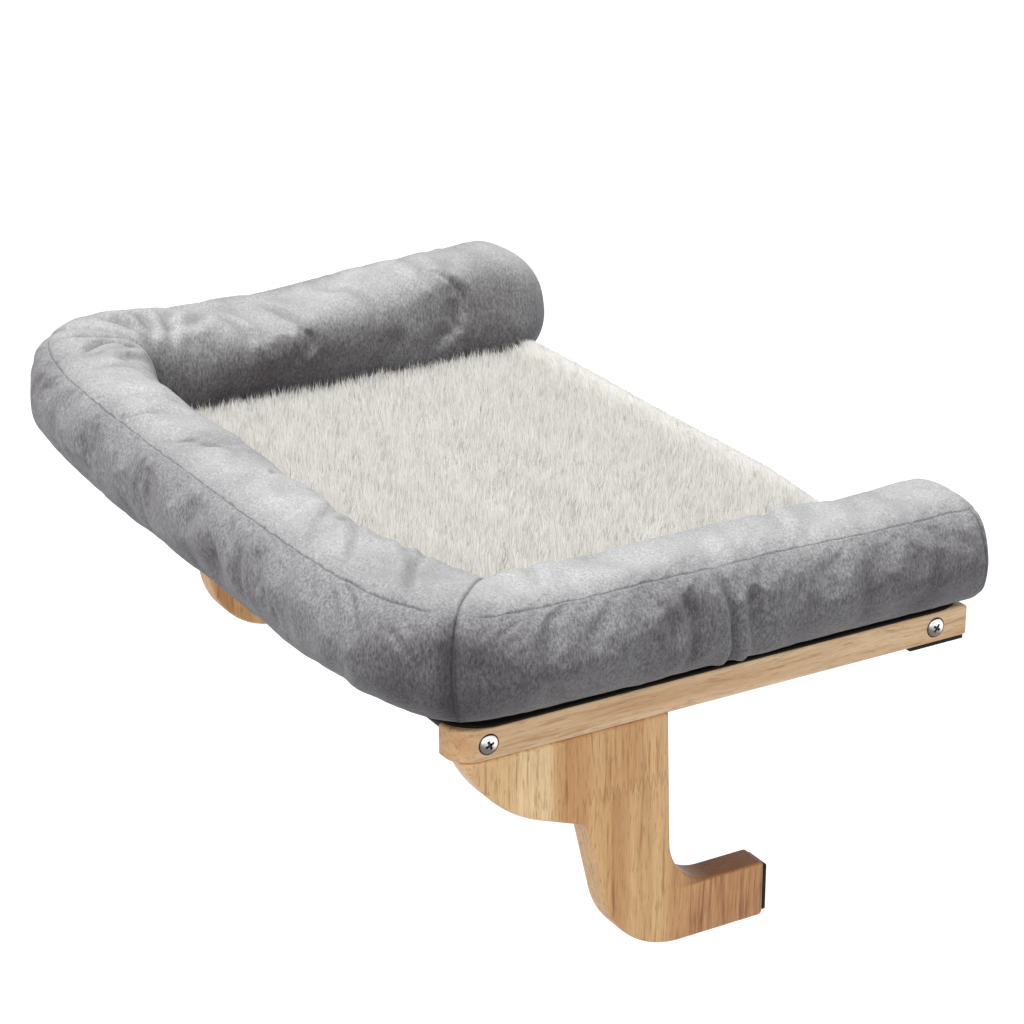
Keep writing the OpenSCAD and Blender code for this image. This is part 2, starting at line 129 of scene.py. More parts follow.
floor_mesh = bpy.data.meshes.new("floor")
floor_mesh.from_pydata([(x * floor_half, y * floor_half, floor_z)
                        for x, y in ((-1, -1), (1, -1), (1, 1), (-1, 1))], [], [(0, 1, 2, 3)])
floor_mesh.materials.append(floor_paint)
floor = stand("floor", floor_mesh)
tree = floor_paint.node_tree
pale = node(tree, "ShaderNodeBsdfDiffuse", {"Color": (0.86, 0.86, 0.86, 1)})
glow = node(tree, "ShaderNodeEmission", {"Color": white, "Strength": 0.25})
shown_as(tree, "ShaderNodeOutputMaterial",
         node(tree, "ShaderNodeBsdfDiffuse", {"Color": (0.50, 0.50, 0.50, 1)}),
         node(tree, "ShaderNodeAddShader", {0: pale.outputs[0], 1: glow.outputs[0]}))

# ---------------------------------------------------------------------------
# Side rails: two planed bars of pale rubberwood, 350 mm long, with a round
# outer front corner and eased edges, finished with a thin satin lacquer.
# The sizes from here on are in the rail's own frame: y = 0 is its front end
# and z = 0 its underside, in millimetres.
rail_h, rail_w, frame_w = 20.0, 20.0, 550.0
rail_front_y, rail_under_z = -329.2, 2.0
rubberwood = (0.78, 0.55, 0.33)


def placed(x, y, z):
    """Rail-frame millimetres to model metres, as an array with one row per point."""
    x, y, z = np.broadcast_arrays(x, y, z)
    return np.stack([x, y + rail_front_y, z + rail_under_z], -1) / 1000.0


def finish_of(name, colour, roughness, **sockets):
    """A Principled material whose constant values sit on the shader's own sockets."""
    material = bpy.data.materials.new(name)
    material.use_nodes = True
    shader = material.node_tree.nodes["Principled BSDF"]
    shader.inputs["Base Color"].default_value = (*colour, 1)
    shader.inputs["Roughness"].default_value = roughness
    for socket, value in sockets.items():
        shader.inputs[socket.replace("_", " ")].default_value = value
    return material, material.node_tree, shader


def group_of(name, inputs, outputs):
    """An empty shader node group: one vector and one number go in, and numbers come out."""
    tree = bpy.data.node_groups.new(name, "ShaderNodeTree")
    tree.interface.new_socket(name="Vector", in_out="INPUT", socket_type="NodeSocketVector")
    for label, value in inputs.items():
        made = tree.interface.new_socket(name=label, in_out="INPUT", socket_type="NodeSocketFloat")
        made.default_value = value
    for label in outputs:
        tree.interface.new_socket(name=label, in_out="OUTPUT", socket_type="NodeSocketFloat")
    return tree, node(tree, "NodeGroupInput").outputs, node(tree, "NodeGroupOutput").inputs


def object_at(tree):
    """The place on the piece, in metres."""
    return node(tree, "ShaderNodeTexCoord").outputs["Object"]


def split_up(tree, vector):
    """A vector's X, Y and Z."""
    return node(tree, "ShaderNodeSeparateXYZ", {0: vector}).outputs


def stretched(tree, vector, scale):
    """The place with each direction scaled, so that a pattern is drawn out or squeezed."""
    return node(tree, "ShaderNodeMapping", {"Vector": vector, "Scale": scale}).outputs[0]


def noise(tree, vector, scale, detail, rough=0.5, bent=0.0):
    """Soft noise of that many features per metre."""
    return node(tree, "ShaderNodeTexNoise", {"Vector": vector, "Scale": scale, "Detail": detail,
                                             "Roughness": rough, "Distortion": bent}).outputs["Fac"]


def remap(tree, value, low, high, to_low=0.0, to_high=1.0):
    """A value's range from low to high, clamped and spread over another range."""
    return node(tree, "ShaderNodeMapRange", {"Value": value, "From Min": low, "From Max": high,
                                             "To Min": to_low, "To Max": to_high}).outputs[0]


def ramp(tree, factor, stops):
    """A colour ramp through (place, colour) stops."""
    made = node(tree, "ShaderNodeValToRGB", {"Fac": factor})
    bar = made.color_ramp
    while len(bar.elements) < len(stops):
        bar.elements.new(0.5)
    for element, (place, colour) in zip(bar.elements, stops):
        element.position = place
        element.color = (*colour, 1)
    return made.outputs["Color"]


def mix_colour(tree, factor, a, b, blend_type="MIX"):
    """Mixes two colours by a factor; each of the three is a value or a socket."""
    a, b = (value if isinstance(value, bpy.types.NodeSocket) else (*value, 1) for value in (a, b))
    return node(tree, "ShaderNodeMix", {0: factor, 6: a, 7: b}, data_type="RGBA", blend_type=blend_type,
                clamp_result=False).outputs[2]


def surface(tree, shader, tone, height=None, strength=0.0, depth=0.0):
    """Links a colour, and the relief where there is one, to the shader."""
    tree.links.new(tone, shader.inputs["Base Color"])
    if height is not None:
        bump = node(tree, "ShaderNodeBump", {"Height": height, "Strength": strength, "Distance": depth})
        tree.links.new(bump.outputs["Normal"], shader.inputs["Normal"])


# The grain of every board is one group: broad figure, fine streaks, hair-thin
# fibre and short pores, all drawn out along the Y of the vector it is given.
wood_figure, given, out = group_of("wood_figure", {"Warp": 0.004}, ("Figure", "Streaks", "Fibre", "Pores"))
sway = node(wood_figure, "ShaderNodeTexNoise", {"Vector": given["Vector"], "Scale": 9.0, "Detail": 2.0})
sway = node(wood_figure, "ShaderNodeVectorMath", {0: sway.outputs["Color"], 1: (0.5, 0.5, 0.5)},
            operation="SUBTRACT")
sway = node(wood_figure, "ShaderNodeVectorMath", {0: sway.outputs[0], "Scale": given["Warp"]},
            operation="SCALE")
grain_at = node(wood_figure, "ShaderNodeVectorMath", {0: given["Vector"], 1: sway.outputs[0]},
                operation="ADD").outputs[0]


def drawn_out(across, along, detail, rough=0.5):
    """Noise with features 1/across wide and 1/along long, in metres."""
    return noise(wood_figure, stretched(wood_figure, grain_at, (across, along, across)), 1.0, detail, rough)


for label, value in (("Figure", drawn_out(75.0, 3.2, 2.0)), ("Streaks", drawn_out(430.0, 17.0, 4.0, 0.66)),
                     ("Fibre", drawn_out(1700.0, 55.0, 2.0, 0.6)),
                     ("Pores", remap(wood_figure, drawn_out(1150.0, 95.0, 1.0), 0.61, 0.70))):
    wood_figure.links.new(value, out[label])


def grained(tree, grain, tone, streaks, fibre, pores):
    """Streaks and fibre, each a (share, ramp stops), tint a wood's tone, and pores, a (share,
    colour), stand in it as dark dots."""
    for output, (share, stops) in (("Streaks", streaks), ("Fibre", fibre)):
        tone = mix_colour(tree, share, tone, ramp(tree, grain[output], stops), "MULTIPLY")
    return mix_colour(tree, sums(tree, "MULTIPLY", grain["Pores"], pores[0]), tone, pores[1])


def lacquered(tree, shader, tone, grain):
    """Fibre and pores stand in the lacquer as a very fine relief."""
    height = sums(tree, "SUBTRACT", grain["Fibre"], sums(tree, "MULTIPLY", grain["Pores"], 0.6))
    surface(tree, shader, tone, height, 0.35, 0.0004)


def dress(material, *names):
    """Gives carried-over CAD pieces their finish."""
    for name in names:
        mesh = cad[name].data
        mesh.materials.clear()
        mesh.materials.append(material)


rail_wood, tree, shader = finish_of("rail_wood", rubberwood, 0.46, Coat_Weight=0.12, Coat_Roughness=0.3)
where = object_at(tree)
grain = node(tree, "ShaderNodeGroup", {"Vector": where, "Warp": 0.012}, node_tree=wood_figure).outputs
tone = ramp(tree, grain["Figure"],
            [(0.30, (0.62, 0.37, 0.19)), (0.46, (0.74, 0.51, 0.30)), (0.70, (0.82, 0.61, 0.40))])
tone = grained(tree, grain, tone,
               (0.85, [(0.33, (0.70, 0.53, 0.37)), (0.47, (1.0, 0.98, 0.96)), (0.66, (1.10, 1.09, 1.07))]),
               (0.80, [(0.30, (0.86, 0.80, 0.72)), (0.56, (1.02, 1.02, 1.02))]),
               (0.45, (0.40, 0.21, 0.09)))
end_grain = remap(tree, split_up(tree, where)["Y"], -0.3270, -0.3150, 1.0, 0.0)
tone = mix_colour(tree, end_grain, tone, (0.90, 0.78, 0.66), "MULTIPLY")
lacquered(tree, shader, tone, grain)
dress(rail_wood, "right_rail", "left_rail")

# ---------------------------------------------------------------------------
# Cross tubes and plugs: two 16 mm steel tubes spread the rails and carry the
# sling, and a turned plug is pressed into each end to take a screw.
front_tube_y, rear_tube_y = 20.0, 327.0

metal_wear, given, out = group_of("metal_wear", {"Scale": 900.0}, ("Scuffs", "Haze"))
drawn = stretched(metal_wear, given["Vector"], (0.06, 1.0, 1.0))
metal_wear.links.new(noise(metal_wear, drawn, given["Scale"], 3.0), out["Scuffs"])
metal_wear.links.new(noise(metal_wear, given["Vector"], 60.0, 2.0), out["Haze"])


def steel(name, colour, low, high, scale):
    """Bare or plated steel: fine drawn scuffs vary its roughness between low and high."""
    material, tree, shader = finish_of(name, colour, low, Metallic=1.0)
    wear = node(tree, "ShaderNodeGroup", {"Vector": object_at(tree), "Scale": scale},
                node_tree=metal_wear).outputs
    tree.links.new(remap(tree, wear["Scuffs"], 0.0, 1.0, low, high), shader.inputs["Roughness"])
    tint = mix_colour(tree, wear["Haze"], colour, tuple(0.82 * c for c in colour))
    surface(tree, shader, tint, wear["Scuffs"], 0.15, 0.0001)
    return material


dress(steel("tube_steel", (0.60, 0.60, 0.62), 0.28, 0.42, 900.0), "front_tube", "rear_tube")
dress(steel("plug_steel", (0.42, 0.42, 0.44), 0.30, 0.50, 700.0), "tube_plugs")

# ---------------------------------------------------------------------------
# Tube screws: four nickel-plated pan heads with a cross recess, each let into
# a round seat in the rail's outer face and driven into the tube's plug.
head_r, head_h, shank_r, screw_l = 6.0, 3.4, 3.0, 40.0
seat_x = frame_w / 2 - 1.8
recess_half_w, recess_reach, recess_depth = 0.72, 2.9, 2.0


def soft_step(value):
    """Smooth 0 to 1 over the unit interval."""
    value = np.clip(value, 0.0, 1.0)
    return value * value * (3 - 2 * value)


def unit(vectors):
    """The same vectors with length 1."""
    return vectors / np.maximum(np.linalg.norm(vectors, axis=-1, keepdims=True), 1e-9)


def grid_faces(rows, columns, closed):
    """Quads of a grid of rows by columns, joined round when closed, as an array of corner indices."""
    across = np.arange(columns if closed else columns - 1)
    down = np.arange(rows - 1)[:, None]
    a = down * columns + across
    b = down * columns + (across + 1) % columns
    return np.stack([a, b, b + columns, a + columns], -1).reshape(-1, 4)


def solid_of(name, points, quads, fans=()):
    """A smooth-shaded mesh object from arrays of points and quads, plus a few many-sided faces."""
    mesh = bpy.data.meshes.new(name)
    mesh.from_pydata(np.asarray(points).reshape(-1, 3).tolist(), [],
                     np.asarray(quads).tolist() + [list(map(int, f)) for f in fans])
    mesh.polygons.foreach_set("use_smooth", np.ones(len(mesh.polygons), bool))
    mesh.update()
    return stand(name, mesh)


def keep_on(mesh, label, values):
    """Keeps one number for each point on the mesh, for its material to read."""
    layer = mesh.attributes.new(label, "FLOAT", "POINT")
    layer.data.foreach_set("value", np.asarray(values, np.float32).ravel())


def kept(tree, label):
    """A number that was kept on the mesh."""
    return node(tree, "ShaderNodeAttribute", attribute_name=label).outputs["Fac"]


def pan_screw(side, y, turn):
    """Rings of a turned pan head, sunk along two crossed wings, then the shank behind it.

    Height over the seat is rim + crown * sqrt(1 - (r/R)^3), less the recess, which falls away
    inside the wings |v| < half width, |u| < reach and shallows towards their ends. The colour on
    the plating is painted reflection and shade: painted shade in the recess and at the rim, and a
    painted highlight towards the light."""
    around = np.linspace(0, 2 * math.pi, 144, endpoint=False)
    r = head_r * np.concatenate([np.linspace(0.004, 0.62, 44), np.linspace(0.64, 1.0, 22)])[:, None]
    u, v = r * np.cos(around - turn), r * np.sin(around - turn)

    def wing(along, aside):
        """1 inside one wing of the recess."""
        return (soft_step((recess_half_w - np.abs(aside)) / 0.22 + 0.5)
                * soft_step((recess_reach - np.abs(along)) / 0.5))

    cross, rim = np.maximum(wing(u, v), wing(v, u)), 0.34 * head_h
    height = rim + (head_h - rim) * np.sqrt(np.clip(1 - (r / head_r) ** 3, 0, 1))
    height = height - cross * recess_depth * (1.15 - r / recess_reach * 0.6)
    back_r = np.array([head_r, head_r - 0.3, shank_r + 0.2, shank_r, shank_r, shank_r - 0.8])[:, None]
    back_h = np.array([0.25, 0.0, 0.0, -0.3, 0.8 - screw_l, -screw_l])[:, None]
    rr = np.concatenate([r, back_r]) + 0 * around
    hh = np.concatenate([height, back_h + 0 * around])
    points = placed(side * (seat_x + hh), y + side * rr * np.cos(around), rail_h / 2 + rr * np.sin(around))
    rows, columns = rr.shape
    ends = [np.arange(columns)[::-1], (rows - 1) * columns + np.arange(columns)]
    # Painted reflection and shade on the plating: lighter on the side towards the light, painted shade in
    # the recess and at the rim where it meets its seat; the shank is plain dark.
    painted_shine = 0.28 + 0.72 * soft_step((np.sin(around + 0.5) * r / head_r + 0.5) / 0.9)
    painted_shine = painted_shine * (1 - 0.95 * cross) * (1 - 0.8 * soft_step((r / head_r - 0.86) / 0.14))
    painted_shine = np.concatenate([painted_shine, 0.15 + 0 * back_r * around])
    return points.reshape(-1, 3), grid_faces(rows, columns, True), ends, painted_shine.ravel()


screws = [pan_screw(*spot) for spot in ((1, front_tube_y, 0.42), (1, rear_tube_y, 0.95),
                                        (-1, front_tube_y, 0.2), (-1, rear_tube_y, 1.2))]
each = len(screws[0][0])
pan_heads = solid_of("pan_head_screws", np.concatenate([screw[0] for screw in screws]),
                     np.concatenate([screw[1] + n * each for n, screw in enumerate(screws)]),
                     [end + n * each for n, screw in enumerate(screws) for end in screw[2]])
keep_on(pan_heads.data, "painted_shine", np.concatenate([screw[3] for screw in screws]))
# The nickel's colour follows the painted reflection and shade kept on the heads, from dark in the recess up
# to a painted highlight.
nickel, tree, shader = finish_of("nickel", (0.6, 0.59, 0.57), 0.2, Metallic=1.0)
surface(tree, shader, ramp(tree, kept(tree, "painted_shine"), [
    (0.0, (0.035, 0.03, 0.028)), (0.3, (0.16, 0.15, 0.14)), (0.6, (0.46, 0.45, 0.43)),
    (1.0, (0.92, 0.91, 0.89))]))
pan_heads.data.materials.append(nickel)
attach(pan_heads, "frame")
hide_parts("tube_screws")

# ---------------------------------------------------------------------------
# Sling: black woven polyester, its two ends turned round the tubes into
# sleeves and stitched down as hems, pulled tight between them.
sling_half_w, sling_thick, tube_r = 252.0, 1.0, 8.05
sling_hem, sling_sag = 27.0, 2.0

weave, given, out = group_of("weave", {"Threads": 1100.0}, ("Height", "Tone"))
at = node(weave, "ShaderNodeVectorMath", {0: given["Vector"], "Scale": given["Threads"]},
          operation="SCALE").outputs[0]


def yarns(place):
    """Round yarns lying side by side along one direction: |sin(pi place)|."""
    return sums(weave, "ABSOLUTE", sums(weave, "SINE", sums(weave, "MULTIPLY", place, math.pi)))


checks = node(weave, "ShaderNodeTexChecker", {"Vector": at, "Scale": 1.0}).outputs["Fac"]
height = node(weave, "ShaderNodeMix", {0: checks, 2: yarns(split_up(weave, at)["X"]),
                                       3: yarns(split_up(weave, at)["Y"])}, data_type="FLOAT").outputs[0]
weave.links.new(height, out["Height"])
weave.links.new(sums(weave, "MULTIPLY", height, noise(weave, given["Vector"], 140.0, 3.0)), out["Tone"])


def woven(name, dark, light, threads):
    """Flat woven cloth: crossing yarns lighten the colour and stand up in the bump."""
    material, tree, shader = finish_of(name, dark, 0.82, Sheen_Weight=0.02, Sheen_Roughness=0.5,
                                       Specular_IOR_Level=0.15)
    cloth = node(tree, "ShaderNodeGroup", {"Vector": object_at(tree), "Threads": threads},
                 node_tree=weave).outputs
    surface(tree, shader, mix_colour(tree, cloth["Tone"], dark, light), cloth["Height"], 0.5, 0.0003)
    return material


def thickened(sheet, thick):
    """Gives a sheet its thickness in millimetres, half to each side."""
    ply = sheet.modifiers.new("ply", "SOLIDIFY")
    ply.thickness, ply.offset = thick / 1000, 0.0


def sling_path():
    """The cloth's own line in (y, z): hem, sleeve round the front tube, a slightly sagging
    span, sleeve round the rear tube, hem. Each sleeve is an arc of radius tube + half a ply."""
    r, mid_z = tube_r + sling_thick / 2, rail_h / 2
    hem_z = mid_z + r - sling_thick - 0.15
    turn = np.radians(np.linspace(385, 90, 40))
    sleeve = np.stack([front_tube_y + r * np.cos(turn), mid_z + r * np.sin(turn)], -1)
    hem = np.stack([front_tube_y + r + np.linspace(sling_hem, 5.0, 10), np.full(10, hem_z)], -1)
    step = np.linspace(0.02, 0.98, 60)
    span = np.stack([front_tube_y + (rear_tube_y - front_tube_y) * step,
                     mid_z + r - sling_sag * np.sin(math.pi * step) ** 2], -1)
    front = np.concatenate([hem, sleeve])
    rear = np.stack([front_tube_y + rear_tube_y - front[::-1, 0], front[::-1, 1]], -1)
    return np.concatenate([front, span, rear])


line = sling_path()
across = np.linspace(-sling_half_w, sling_half_w, 85)
ripple = 0.25 * np.sin(across / 23.0)[None, :] * np.sin(np.linspace(0, math.pi, len(line)))[:, None]
points = placed(across[None, :], line[:, :1], line[:, 1:] + ripple)
sling_cloth = solid_of("sling_cloth", points, grid_faces(len(line), len(across), False)[:, ::-1])
thickened(sling_cloth, sling_thick)
sling_cloth.data.materials.append(woven("sling_weave", (0.018, 0.017, 0.018), (0.06, 0.058, 0.06), 900.0))
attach(sling_cloth, "frame")
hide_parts("sling")

# ---------------------------------------------------------------------------
# J brackets: boards glued up from narrow upright strips with a finger joint in
# the stem, sawn to the J outline and eased all round, redder wood at the foot.
bracket_t, bracket_ease, bracket_front, bracket_gap = 20.0, 2.2, 5.0, 0.1
bracket_corners = [(0, 0, 0), (16, -34.5, 85), (79.5, -57.5, 12), (101, -150, 54), (203, -150, 3),
                   (203, -114, 3), (137, -114, 31), (133, 0, 0)]


def eased_outline(corners, step_deg=5.0):
    """Replaces each corner (y, z, radius) by an arc; a radius is limited by its share of its sides."""
    pts = np.array(corners, float)
    out = []
    for i in range(len(pts)):
        before, at, after = pts[i - 1], pts[i], pts[(i + 1) % len(pts)]
        if at[2] <= 0:
            out.append(at[None, :2])
            continue
        a, b = before[:2] - at[:2], after[:2] - at[:2]
        la, lb = np.linalg.norm(a), np.linalg.norm(b)
        a, b = a / la, b / lb
        bend = math.pi - math.acos(np.clip(a @ b, -1, 1))
        share = min(la * at[2] / (at[2] + before[2]), lb * at[2] / (at[2] + after[2]))
        run = min(at[2] * math.tan(bend / 2), share)
        r = run / math.tan(bend / 2)
        hand = np.sign(-a[0] * b[1] + a[1] * b[0])
        normal = hand * np.array([a[1], -a[0]])
        centre = at[:2] + a * run + normal * r
        start = np.arctan2(*(at[:2] + a * run - centre)[::-1])
        turn = start + hand * np.linspace(0, bend, max(3, int(math.degrees(bend) / step_deg) + 1))
        out.append(centre + r * np.stack([np.cos(turn), np.sin(turn)], -1))
    return np.concatenate(out, 0)


def densely(outline, spacing):
    """The same closed outline with points no further apart than spacing, and none doubled."""
    outline = outline[np.linalg.norm(np.roll(outline, -1, 0) - outline, axis=1) > 0.05]
    after = np.roll(outline, -1, 0)
    count = np.maximum(1, np.ceil(np.linalg.norm(after - outline, axis=1) / spacing)).astype(int)
    return np.concatenate([a + (b - a) * (np.arange(n) / n)[:, None]
                           for a, b, n in zip(outline, after, count)])


def board(name, outline, thick, ease, x_mid, y0, z0):
    """A board of that outline whose long edges are quarter rounds: inset e(1 - sin a), out e cos a."""
    after = np.roll(outline, -1, 0)
    run = after - outline
    ahead = unit(np.stack([run[:, 1], -run[:, 0]], -1))
    area = 0.5 * np.sum(outline[:, 0] * after[:, 1] - after[:, 0] * outline[:, 1])
    out_n = (ahead + np.roll(ahead, 1, 0)) * np.sign(area)
    out_n /= np.maximum(1e-6, (out_n * ahead * np.sign(area)).sum(1))[:, None]
    a = np.radians(np.linspace(0, 90, 8))
    inset, level = ease * (1 - np.sin(a)), thick / 2 - ease * (1 - np.cos(a))
    inset, level = np.concatenate([inset, inset[::-1]]), np.concatenate([level, -level[::-1]])
    ring = outline[None] - inset[:, None, None] * out_n[None]
    points = placed(x_mid + level[:, None], y0 + ring[..., 0], z0 + ring[..., 1])
    rows, columns = ring.shape[:2]
    quads = grid_faces(rows, columns, True)
    flat = delaunay_2d_cdt([Vector(c) for c in ring[0]], [], [list(range(columns))], 1, 1e-5)
    own = [ids[0] if ids else int(np.argmin(((ring[0] - np.array(at)) ** 2).sum(1)))
           for at, ids in zip(flat[0], flat[3])]
    face = np.array([[own[i] for i in f] for f in flat[2]])
    corner = ring[0][face]
    spin = np.cross(corner[:, 1] - corner[:, 0], corner[:, 2] - corner[:, 0]) > 0
    face = np.where(spin[:, None], face, face[:, ::-1])
    return solid_of(name, points, quads[:, ::-1] if area > 0 else quads,
                    np.concatenate([face, face[:, ::-1] + (rows - 1) * columns]))


strip_run = 0.21
upper_strips = [
    (0.00, (0.76, 0.51, 0.28)), (0.16, (0.82, 0.59, 0.33)), (0.195, (0.93, 0.71, 0.45)),
    (0.285, (0.90, 0.68, 0.42)), (0.30, (0.74, 0.48, 0.24)), (0.335, (0.62, 0.34, 0.15)),
    (0.40, (0.66, 0.38, 0.18)), (0.42, (0.74, 0.48, 0.25)), (0.50, (0.70, 0.43, 0.21)),
    (0.515, (0.64, 0.37, 0.17)), (0.57, (0.66, 0.39, 0.19)), (0.59, (0.78, 0.52, 0.28)),
    (0.66, (0.76, 0.50, 0.27)), (0.70, (0.66, 0.37, 0.18)), (1.0, (0.52, 0.25, 0.11))]
lower_strips = [
    (0.36, (0.60, 0.33, 0.15)), (0.40, (0.64, 0.36, 0.17)), (0.415, (0.76, 0.50, 0.25)),
    (0.47, (0.72, 0.46, 0.22)), (0.485, (0.58, 0.32, 0.14)), (0.53, (0.66, 0.40, 0.19)),
    (0.545, (0.76, 0.50, 0.26)), (0.60, (0.68, 0.43, 0.21)), (0.615, (0.78, 0.53, 0.28)),
    (0.66, (0.73, 0.48, 0.24)), (0.68, (0.63, 0.36, 0.17)), (1.0, (0.56, 0.29, 0.12))]
finger_half_pitch, finger_steepness, finger_z, stem_y = 0.0020, 4.6, -0.0338, 0.0795
heart_slant, heart_y, shelf_z, shelf_y = -0.42, 0.205, -0.1140, 0.148


def bracket_wood(name, shade, offset):
    """Upright strips of their own tone, a saw-toothed joint line across the stem, and a foot
    of redder heartwood beyond a slanting line, all multiplied by the shade tint, which is painted shade for
    a board standing in shade. Y and Z are the board's own directions."""
    material, tree, shader = finish_of(name, rubberwood, 0.48, Coat_Weight=0.10, Coat_Roughness=0.32)
    where = object_at(tree)
    upright = node(tree, "ShaderNodeMapping", {"Vector": where, "Rotation": (math.radians(90), 0, 0),
                                               "Location": (offset, 0.0, offset)}).outputs[0]
    grain = node(tree, "ShaderNodeGroup", {"Vector": upright, "Warp": 0.006}, node_tree=wood_figure).outputs
    split = split_up(tree, where)
    y, z = sums(tree, "ADD", split["Y"], -rail_front_y / 1000), split["Z"]
    wobble = sums(tree, "MULTIPLY", sums(tree, "SUBTRACT", grain["Figure"], 0.5), 0.004)
    y_way = sums(tree, "ADD", y, wobble)
    strip = remap(tree, y_way, 0.0, strip_run)
    fingers = sums(tree, "MULTIPLY", sums(tree, "PINGPONG", y, finger_half_pitch), finger_steepness)
    z_joint = sums(tree, "ADD", fingers, z)
    below = remap(tree, z_joint, finger_z - 0.0007, finger_z + 0.0008, 1.0, 0.0)
    in_stem = remap(tree, y, stem_y, stem_y + 0.002)
    tone = mix_colour(tree, sums(tree, "MULTIPLY", below, in_stem),
                      ramp(tree, strip, upper_strips), ramp(tree, strip, lower_strips))
    glue = sums(tree, "ABSOLUTE", sums(tree, "SUBTRACT", z_joint, finger_z))
    glue = remap(tree, glue, 0.0006, 0.0022, 0.45, 0.0)
    tone = mix_colour(tree, sums(tree, "MULTIPLY", glue, in_stem), tone, (0.34, 0.17, 0.07))
    slant = sums(tree, "ADD", y_way, sums(tree, "MULTIPLY", z, heart_slant))
    foot = remap(tree, slant, heart_y, heart_y + 0.009)
    heart = ramp(tree, grain["Streaks"],
                 [(0.30, (0.33, 0.14, 0.055)), (0.50, (0.50, 0.25, 0.11)), (0.70, (0.60, 0.34, 0.16))])
    tone = mix_colour(tree, sums(tree, "MULTIPLY", foot, 0.8), tone, heart)
    shelf = sums(tree, "MULTIPLY", remap(tree, z, shelf_z, shelf_z + 0.0015),
                 remap(tree, y, shelf_y, shelf_y + 0.012))
    tone = mix_colour(tree, shelf, tone, (0.30, 0.135, 0.06))
    tone = grained(tree, grain, tone,
                   (0.95, [(0.32, (0.66, 0.48, 0.31)), (0.46, (1.0, 0.98, 0.95)),
                           (0.68, (1.13, 1.11, 1.06))]),
                   (0.85, [(0.30, (0.82, 0.74, 0.64)), (0.56, (1.03, 1.03, 1.02))]),
                   (0.60, (0.40, 0.20, 0.085)))
    lacquered(tree, shader, mix_colour(tree, 1.0, tone, shade, "MULTIPLY"), grain)
    return material


bracket_line = densely(eased_outline(bracket_corners), 6.0)
# Lit and shaded copies of one wood: the right board's tint is nearly plain, and the left one's darker, more
# orange tint is painted shade.
for hand, name, shade, offset in ((1, "right", (0.99, 0.96, 0.90), 0.0),
                                  (-1, "left", (0.98, 0.88, 0.76), 0.37)):
    bracket = board(name + "_bracket_board", bracket_line, bracket_t, bracket_ease,
                    hand * (frame_w - rail_w) / 2, bracket_front, -bracket_gap)
    bracket.data.materials.append(bracket_wood(name + "_bracket_wood", shade, offset))
    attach(bracket, name + "_arm")
    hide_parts(name + "_bracket")

# ---------------------------------------------------------------------------
# Bracket bolts, washers and inserts: zinc-plated socket bolts in the rail's
# groove pull each bracket up by threaded inserts, and can slide when loosened.
dress(steel("bolt_zinc", (0.66, 0.66, 0.67), 0.22, 0.38, 1800.0), "right_bracket_bolts",
      "left_bracket_bolts", "right_bracket_washers", "left_bracket_washers")
dress(steel("insert_zinc", (0.50, 0.48, 0.44), 0.30, 0.48, 1500.0), "right_bracket_inserts",
      "left_bracket_inserts")

# ---------------------------------------------------------------------------
# Rubber pads: self-adhesive black rubber under the rails' window ends and on
# the feet, so that neither the sill nor the wall is marked.
rubber, tree, shader = finish_of("pad_rubber", (0.012, 0.011, 0.011), 0.7, Specular_IOR_Level=0.2)
where = object_at(tree)
dust = mix_colour(tree, noise(tree, where, 90.0, 2.0), (0.006, 0.006, 0.006), (0.018, 0.017, 0.017))
surface(tree, shader, dust, noise(tree, where, 1400.0, 3.0), 0.4, 0.0002)
dress(rubber, "right_sill_pad", "left_sill_pad", "right_foot_pad", "left_foot_pad")

# ---------------------------------------------------------------------------
# Base cloth: one black felted sheet with round corners closes the underside of
# the bed; the rolls are sewn to it, and it lies loose on rails and sling.
# The sheet shows as a near-black strip beside the side rolls: partly the real black felt, partly painted
# shade for the dark gap under the rolls.
base_half_w, base_front_y, base_bow, base_bow_power = 276.0, -19.5, 29.0, 5.0
base_rear_y, base_front_r, base_rear_r = 352.0, 16.0, 24.0
base_z, base_thick = 21.05, 1.4


def rounded(s, r):
    """How far an edge draws back at a corner of radius r, over s = x / half width: r - sqrt(r^2 - k^2)."""
    k = np.clip(np.abs(s) * base_half_w - (base_half_w - r), 0, r)
    return r - np.sqrt(r ** 2 - k ** 2)


base_s = np.sin(np.linspace(-math.pi / 2, math.pi / 2, 150))[:, None]
front_edge = base_front_y + base_bow * np.abs(base_s) ** base_bow_power + rounded(base_s, base_front_r)
depth = base_rear_y - rounded(base_s, base_rear_r) - front_edge
base_grid = placed(base_s * base_half_w, front_edge + depth * np.linspace(0, 1, 80), base_z)
base_cloth = solid_of("base_cloth", base_grid, grid_faces(150, 80, False)[:, ::-1])
thickened(base_cloth, base_thick)
base_cloth.data.materials.append(woven("base_felt_and_painted_shade", (0.004, 0.003, 0.0025), (0.012, 0.009, 0.007), 700.0))
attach(base_cloth, "bed")
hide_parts("bed_base")

# ---------------------------------------------------------------------------
# Bolster: a front roll and two side rolls of short-pile grey plush, stuffed
# with fibre. Each has a topstitched seam along its upper outer edge and meets
# its neighbour in a drawn-in mitre seam; the free ends close in an end panel.
roll_half_w, roll_up, roll_down, roll_flat_w = 37.0, 36.4, 38.6, -37.6
roll_x, corner_y, roll_z = 262.0, 13.0, 59.6
front_ahead, front_bend_power = 11.0, 4.8
seam_at = math.radians(56)
body_end_y, near_end_y, near_end_bulge, far_end_y, far_end_bulge = 330.0, 319.5, 34.5, 332.0, 41.5
near_end_low, near_end_span = -22.0, 58.5
body_l = body_end_y - corner_y
fine_ring, coarse_ring = 216, 60
fine_gap, coarse_gap = 1.65, 4.6


